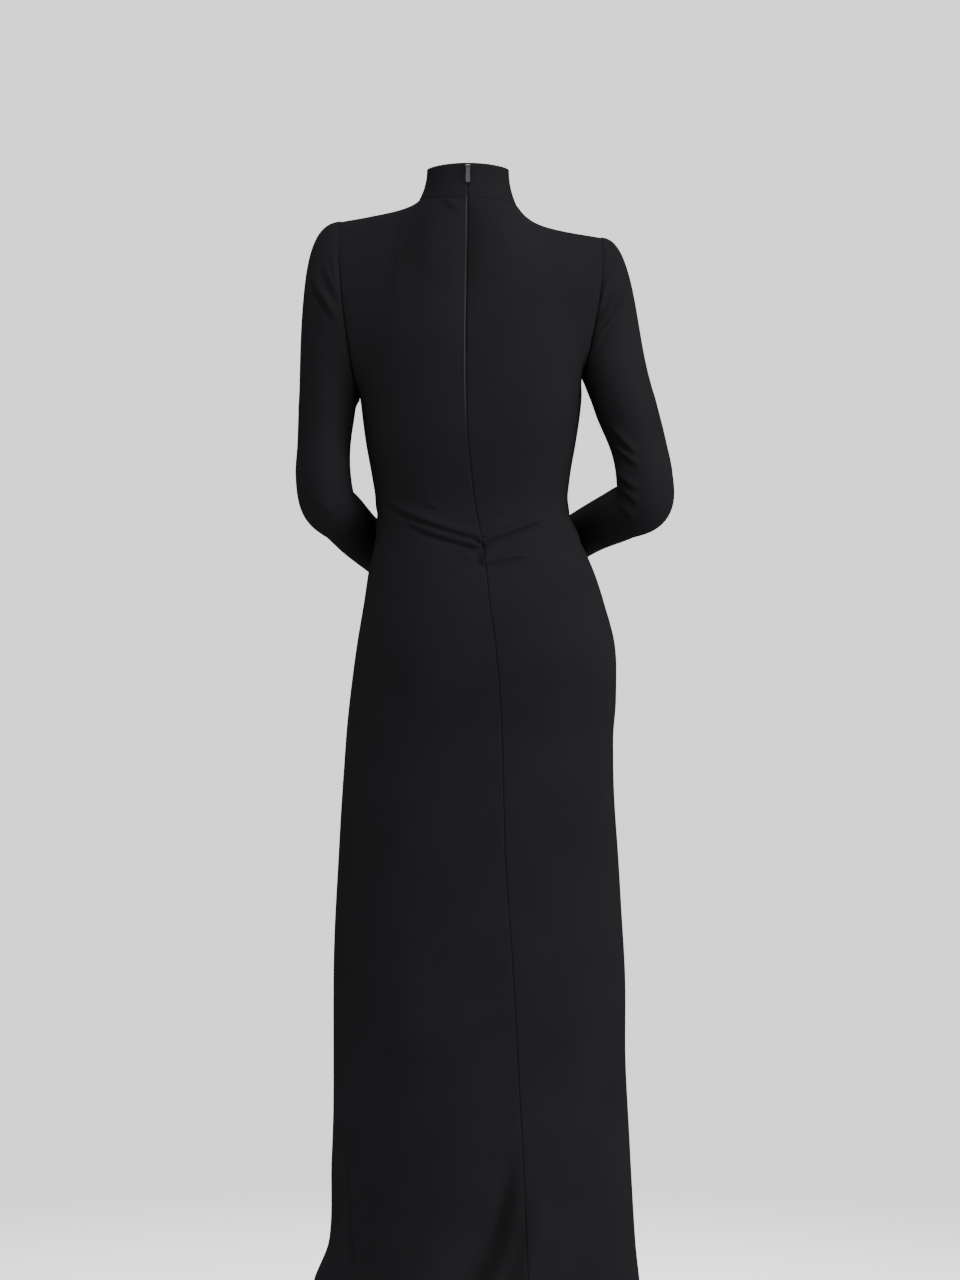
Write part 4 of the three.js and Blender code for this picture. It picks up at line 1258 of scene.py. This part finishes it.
class SewingSizes(bpy.types.PropertyGroup):
    spacing: bpy.props.FloatProperty(
        name="Stitch spacing", description="From one stitch to the next",
        default=0.0033, min=0.0015, max=0.01, unit="LENGTH", precision=5,
    )
    length: bpy.props.FloatProperty(
        name="Stitch length", description="Length of a stitch that shows",
        default=0.0026, min=0.001, max=0.008, unit="LENGTH", precision=5,
    )
    thread: bpy.props.FloatProperty(
        name="Thread", description="Thickness of the thread",
        default=0.0004, min=0.0001, max=0.001, unit="LENGTH", precision=5,
    )


class ZipSizes(bpy.types.PropertyGroup):
    tape_thickness: bpy.props.FloatProperty(
        name="Tape thickness", description="Thickness of the zip's tape",
        default=0.0006, min=0.0002, max=0.001, unit="LENGTH", precision=5,
    )
    tooth_spacing: bpy.props.FloatProperty(
        name="Tooth spacing", description="From one turn of the coil to the next",
        default=0.0012, min=0.0008, max=0.003, unit="LENGTH", precision=5,
    )
    coil_width: bpy.props.FloatProperty(
        name="Coil width", description="Width of the closed coil",
        default=0.0042, min=0.002, max=0.008, unit="LENGTH", precision=5,
    )


class DressColours(bpy.types.PropertyGroup):
    jersey: bpy.props.FloatVectorProperty(
        name="Jersey", description="Colour of the cloth", subtype="COLOR",
        size=3, min=0, max=1, default=(0.0064, 0.0064, 0.007),
    )
    thread: bpy.props.FloatVectorProperty(
        name="Thread", description="Colour of the stitches", subtype="COLOR",
        size=3, min=0, max=1, default=(0.012, 0.012, 0.014),
    )
    tape: bpy.props.FloatVectorProperty(
        name="Zip tape", description="Colour of the zip's tape and coil", subtype="COLOR",
        size=3, min=0, max=1, default=(0.012, 0.012, 0.013),
    )
    metal: bpy.props.FloatVectorProperty(
        name="Slider", description="Colour of the slider and its tab", subtype="COLOR",
        size=3, min=0, max=1, default=(0.02, 0.02, 0.022),
    )
    floor: bpy.props.FloatVectorProperty(
        name="Floor", description="Colour of the studio floor", subtype="COLOR",
        size=3, min=0, max=1, default=(0.66, 0.67, 0.67),
    )


def settings():
    scene = bpy.context.scene
    return scene.dress_cloth, scene.dress_sewing, scene.dress_zip, scene.dress_colours


def forms():
    cloth = bpy.context.scene.dress_cloth
    return cloth_forms(round(cloth.crease_depth, 6), round(cloth.seam_depth / MM, 6))


def jersey():
    return material_once(jersey_material, "Jersey", tuple(settings()[3].jersey))


def thread():
    return material_once(thread_material, "Sewing thread", tuple(settings()[3].thread))


def tape_cloth():
    return material_once(tape_material, "Zip tape", tuple(settings()[3].tape))


def dress_piece(obj, slot, *nodes):
    """Sets a finished piece on the dress, in place of its solids."""
    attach(obj, "dress")
    if nodes:
        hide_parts(*nodes)
    return obj


def flat_size(points):
    """Width and length of a piece laid flat, and its area, in metres."""
    widths, lengths = lengths_along(points, 1)[:, -1], lengths_along(points, 0)[-1]
    a = points[1:, :-1] - points[:-1, :-1]
    b = points[:-1, 1:] - points[:-1, :-1]
    area = np.linalg.norm(np.cross(a, b), axis=2).sum()
    return widths.max() * MM, lengths.max() * MM, area * MM * MM


def paint_edge_highlight(obj, piece, rows):
    """Marks where the jersey's colour is made lighter as a painted highlight, along the panel's
    edge rolled over the zip.
    """
    # The profile of the zip's lip serves as the mask of the painted highlight
    highlight = zip_lip(piece)
    highlight = np.pad(highlight, ((rows - len(highlight), 0), (0, 0))).ravel()
    layer = obj.data.attributes.new("painted_edge_highlight", "FLOAT", "POINT")
    layer.data.foreach_set("value", np.concatenate([highlight, np.zeros_like(highlight)]))


class DRESS_OT_panels(bpy.types.Operator):
    """Make the two back panels and the front, each with its turned-up hem"""
    bl_idname = "dress.panels"
    bl_label = "Body panels"

    def execute(self, context):
        cloth = settings()[0]
        for name in ("back_left", "back_right", "front"):
            piece = forms()[name]
            grid = with_turn_up(piece, False, cloth.hem / MM)
            obj = shell_object(
                name + "_cloth", grid, piece.turn, False, cloth.thickness / MM, jersey(),
            )
            # The left back panel gets the painted highlight along its zip edge
            if name == "back_left":
                paint_edge_highlight(obj, piece, len(grid))
            dress_piece(obj, "jersey", name)
            width, length, area = flat_size(grid)
        return {"FINISHED"}


class DRESS_OT_sleeves(bpy.types.Operator):
    """Make both sleeves, each with its turned-in cuff"""
    bl_idname = "dress.sleeves"
    bl_label = "Sleeves"

    def execute(self, context):
        cloth = settings()[0]
        for name in ("sleeve_left", "sleeve_right"):
            piece = forms()[name]
            grid = with_turn_up(piece, True, cloth.cuff / MM)
            obj = shell_object(
                name + "_cloth", grid, piece.turn, True, cloth.thickness / MM, jersey(),
            )
            dress_piece(obj, "jersey", name)
            around = np.concatenate([grid, grid[:, :1]], axis=1)
            width, length, area = flat_size(around)
        return {"FINISHED"}


class DRESS_OT_collar(bpy.types.Operator):
    """Make the high neckband, folded in along its top"""
    bl_idname = "dress.collar"
    bl_label = "Neckband"

    def execute(self, context):
        cloth = settings()[0]
        piece = forms()["collar"]
        grid = with_turn_up(piece, True, COLLAR_TURN_IN)
        obj = shell_object(
            "collar_cloth", grid, piece.turn, False, cloth.thickness / MM, jersey(),
        )
        dress_piece(obj, "jersey", "collar")
        width, length, area = flat_size(grid)
        return {"FINISHED"}


TAPE_COLUMNS = (7, 6, 5, 4, 3)
TAPE_INSIDE = 3.6
# The loose end of the tape stands further in, clear of the folds over it
TAPE_END = dict(inside=2.6, low=-420, high=-400)
COIL_BEHIND_TAPE = 1.2
COIL = dict(share=0.8, thickness=0.0012, unevenness=0.02)


def zip_strip():
    """The cloth beside the closed zip, from its end up: columns from right to left."""
    left, right, collar = (forms()[name] for name in ("back_left", "back_right", "collar"))
    rows = left.points[:, 0, 2] >= ZIP_END_Z
    columns = [(right, -1 - k) for k in TAPE_COLUMNS] + [(left, k) for k in TAPE_COLUMNS[::-1]]
    bands = [-1 - k for k in TAPE_COLUMNS] + list(TAPE_COLUMNS[::-1])
    strips = []
    for kind in ("points", "normals"):
        strips.append(np.stack([
            np.concatenate([getattr(panel, kind)[rows, k], getattr(collar, kind)[1:, band]])
            for (panel, k), band in zip(columns, bands)
        ], axis=1))
    return strips


def tape_depth(points):
    """How far inside the face of the cloth the tape lies."""
    end = 1 - smooth_step(points[..., 2:], TAPE_END["low"], TAPE_END["high"])
    return TAPE_INSIDE + TAPE_END["inside"] * end


class DRESS_OT_zip_tape(bpy.types.Operator):
    """Make the zip's tapes inside the centre back seam"""
    bl_idname = "dress.zip_tape"
    bl_label = "Zip tape"

    def execute(self, context):
        sizes = settings()[2]
        points, normals = zip_strip()
        grid = (points - normals * tape_depth(points))[::2]
        obj = shell_object(
            "zip_tape_cloth", grid, 1, False, sizes.tape_thickness / MM, tape_cloth(),
        )
        dress_piece(obj, "zip_tape", "zip_tape")
        width, length, area = flat_size(grid)
        return {"FINISHED"}


class DRESS_OT_zip_coil(bpy.types.Operator):
    """Make the zip's closed coil along the inner face of its tape"""
    bl_idname = "dress.zip_coil"
    bl_label = "Zip coil"

    def execute(self, context):
        sizes = settings()[2]
        points, normals = zip_strip()
        inside = points - normals * (tape_depth(points) + COIL_BEHIND_TAPE)
        middle = len(TAPE_COLUMNS)
        path = inside[:, middle - 1:middle + 1].mean(axis=1)
        obj = repeat_along("zip_coil", [path], {
            "Spacing": sizes.tooth_spacing, "Length": sizes.tooth_spacing * COIL["share"],
            "Width": sizes.coil_width, "Thickness": COIL["thickness"],
            "Unevenness": COIL["unevenness"],
        }, tape_cloth())
        dress_piece(obj, "zip_tape")
        return {"FINISHED"}


class DRESS_OT_zip_metal(bpy.types.Operator):
    """Finish the slider and its tab"""
    bl_idname = "dress.zip_metal"
    bl_label = "Slider and tab"

    def execute(self, context):
        enamel = material_once(metal_material, "Black enamel", tuple(settings()[3].metal))
        for name in ("zip_slider", "zip_pull"):
            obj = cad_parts[name]
            obj.data.materials.clear()
            obj.data.materials.append(enamel)
        return {"FINISHED"}


STITCH_UNEVENNESS = 0.12
STITCH_PROUD = 0.12


class DRESS_OT_stitches(bpy.types.Operator):
    """Sew the twin rows of stitches round the hem and both cuffs"""
    bl_idname = "dress.stitches"
    bl_label = "Hem and cuff stitches"

    def execute(self, context):
        sewing = settings()[1]
        rows = {"hem_stitches": [], "cuff_stitches": []}
        for name in ("back_left", "front", "back_right"):
            piece = forms()[name]
            for height in HEM_ROWS:
                rows["hem_stitches"].append(level_line(piece, height, False))
        for name in ("sleeve_left", "sleeve_right"):
            piece = forms()[name]
            for height in CUFF_ROWS:
                rows["cuff_stitches"].append(level_line(piece, height, True))
        for name, paths in rows.items():
            obj = repeat_along(name, paths, {
                "Spacing": sewing.spacing, "Length": sewing.length, "Width": sewing.thread,
                "Thickness": sewing.thread, "Unevenness": STITCH_UNEVENNESS,
            }, thread())
            dress_piece(obj, "jersey")
        return {"FINISHED"}


def level_line(piece, distance, from_end):
    """The line on a piece at a distance from its first or last row, just proud of it."""
    points = piece.points[::-1] if from_end else piece.points
    normals = piece.normals[::-1] if from_end else piece.normals
    along = lengths_along(points, 0)
    line = []
    for j in range(points.shape[1]):
        k = int(np.searchsorted(along[:, j], distance)) - 1
        t = (distance - along[k, j]) / (along[k + 1, j] - along[k, j])
        place = points[k, j] * (1 - t) + points[k + 1, j] * t
        line.append(place + normals[k, j] * STITCH_PROUD)
    if piece.tube:
        line.append(line[0])
    return np.array(line)


class DRESS_OT_stage(bpy.types.Operator):
    """Set the pale floor, the soft studio light and the camera behind the dress"""
    bl_idname = "dress.stage"
    bl_label = "Studio"

    def execute(self, context):
        make_floor(tuple(settings()[3].floor))
        make_lights()
        make_camera()
        return {"FINISHED"}


FLOOR_Z = -1.587
FLOOR_RADIUS = 4.0
FLOOR_SIDES = 64
FLOOR_CLEAR = 0.7
FLOOR_FADED = 2.2
CAMERA = dict(sensor=36, lens=97.36, place=(-0.0156, 4.5, -0.5564))


def make_floor(colour):
    mesh = bpy.data.meshes.new("floor")
    corners = [
        (FLOOR_RADIUS * math.cos(a), FLOOR_RADIUS * math.sin(a), FLOOR_Z)
        for a in np.linspace(0, 2 * math.pi, FLOOR_SIDES + 1)[:-1]
    ]
    mesh.from_pydata(corners, [], [tuple(range(len(corners)))])
    mesh.materials.append(
        material_once(floor_material, "Pale floor", colour, FLOOR_CLEAR, FLOOR_FADED),
    )
    link(bpy.data.objects.new("floor", mesh))


def area_light(name, place, towards, size, power):
    light = bpy.data.lights.new(name, "AREA")
    light.shape = "DISK"
    light.size = size
    light.energy = power
    lamp = link(bpy.data.objects.new(name, light))
    lamp.location = place
    way = Vector(towards) - Vector(place)
    lamp.rotation_euler = way.to_track_quat("-Z", "Y").to_euler()


def make_lights():
    area_light("key_light", (-3.3, 1.5, 0.1), (0, 0, -0.7), 1.8, 230)
    area_light("top_light", (-0.5, 1.7, 2.3), (0, 0, -0.5), 1.0, 120)
    area_light("fill_light", (2.2, 3.2, 0.9), (0, 0, -0.7), 2.4, 25)
    area_light("front_light", (1.6, -3.2, 0.9), (0, 0, -0.6), 2.4, 150)
    area_light("front_top_light", (0.4, -1.8, 2.2), (0, 0, -0.5), 1.2, 90)
    area_light("front_fill", (-2.4, -2.4, 0.2), (0, 0, -0.7), 2.6, 60)
    world = bpy.data.worlds.new("Studio")
    world.use_nodes = True
    background = world.node_tree.nodes["Background"]
    background.inputs["Color"].default_value = (0.97, 0.985, 0.98, 1)
    background.inputs["Strength"].default_value = 1.5
    bpy.context.scene.world = world


def make_camera():
    camera = bpy.data.cameras.new("camera")
    camera.sensor_width = CAMERA["sensor"]
    camera.lens = CAMERA["lens"]
    obj = link(bpy.data.objects.new("camera", camera))
    obj.location = CAMERA["place"]
    obj.rotation_euler = (math.pi / 2, 0, math.pi)
    bpy.context.scene.camera = obj


STEPS = ("panels", "sleeves", "collar", "zip_tape", "zip_coil", "zip_metal", "stitches", "stage")


class DRESS_PT_panel(bpy.types.Panel):
    """The dress and its settings"""
    bl_idname = "DRESS_PT_panel"
    bl_label = "Dress"
    bl_space_type = "VIEW_3D"
    bl_region_type = "UI"
    bl_category = "Dress"

    def draw(self, context):
        for group in settings():
            box = self.layout.box()
            for name in group.__annotations__:
                box.prop(group, name)
        for step in STEPS:
            self.layout.operator("dress." + step)


GROUPS = {
    "dress_cloth": ClothSizes,
    "dress_sewing": SewingSizes,
    "dress_zip": ZipSizes,
    "dress_colours": DressColours,
}
CLASSES = (
    *GROUPS.values(), DRESS_OT_panels, DRESS_OT_sleeves, DRESS_OT_collar, DRESS_OT_zip_tape,
    DRESS_OT_zip_coil, DRESS_OT_zip_metal, DRESS_OT_stitches, DRESS_OT_stage, DRESS_PT_panel,
)


def register():
    for kind in CLASSES:
        bpy.utils.register_class(kind)
    for name, group in GROUPS.items():
        setattr(bpy.types.Scene, name, bpy.props.PointerProperty(type=group))


def unregister():
    for name in GROUPS:
        delattr(bpy.types.Scene, name)
    for kind in reversed(CLASSES):
        bpy.utils.unregister_class(kind)


def main():
    register()
    for step in STEPS:
        getattr(bpy.ops.dress, step)()


if __name__ == "__main__":
    main()
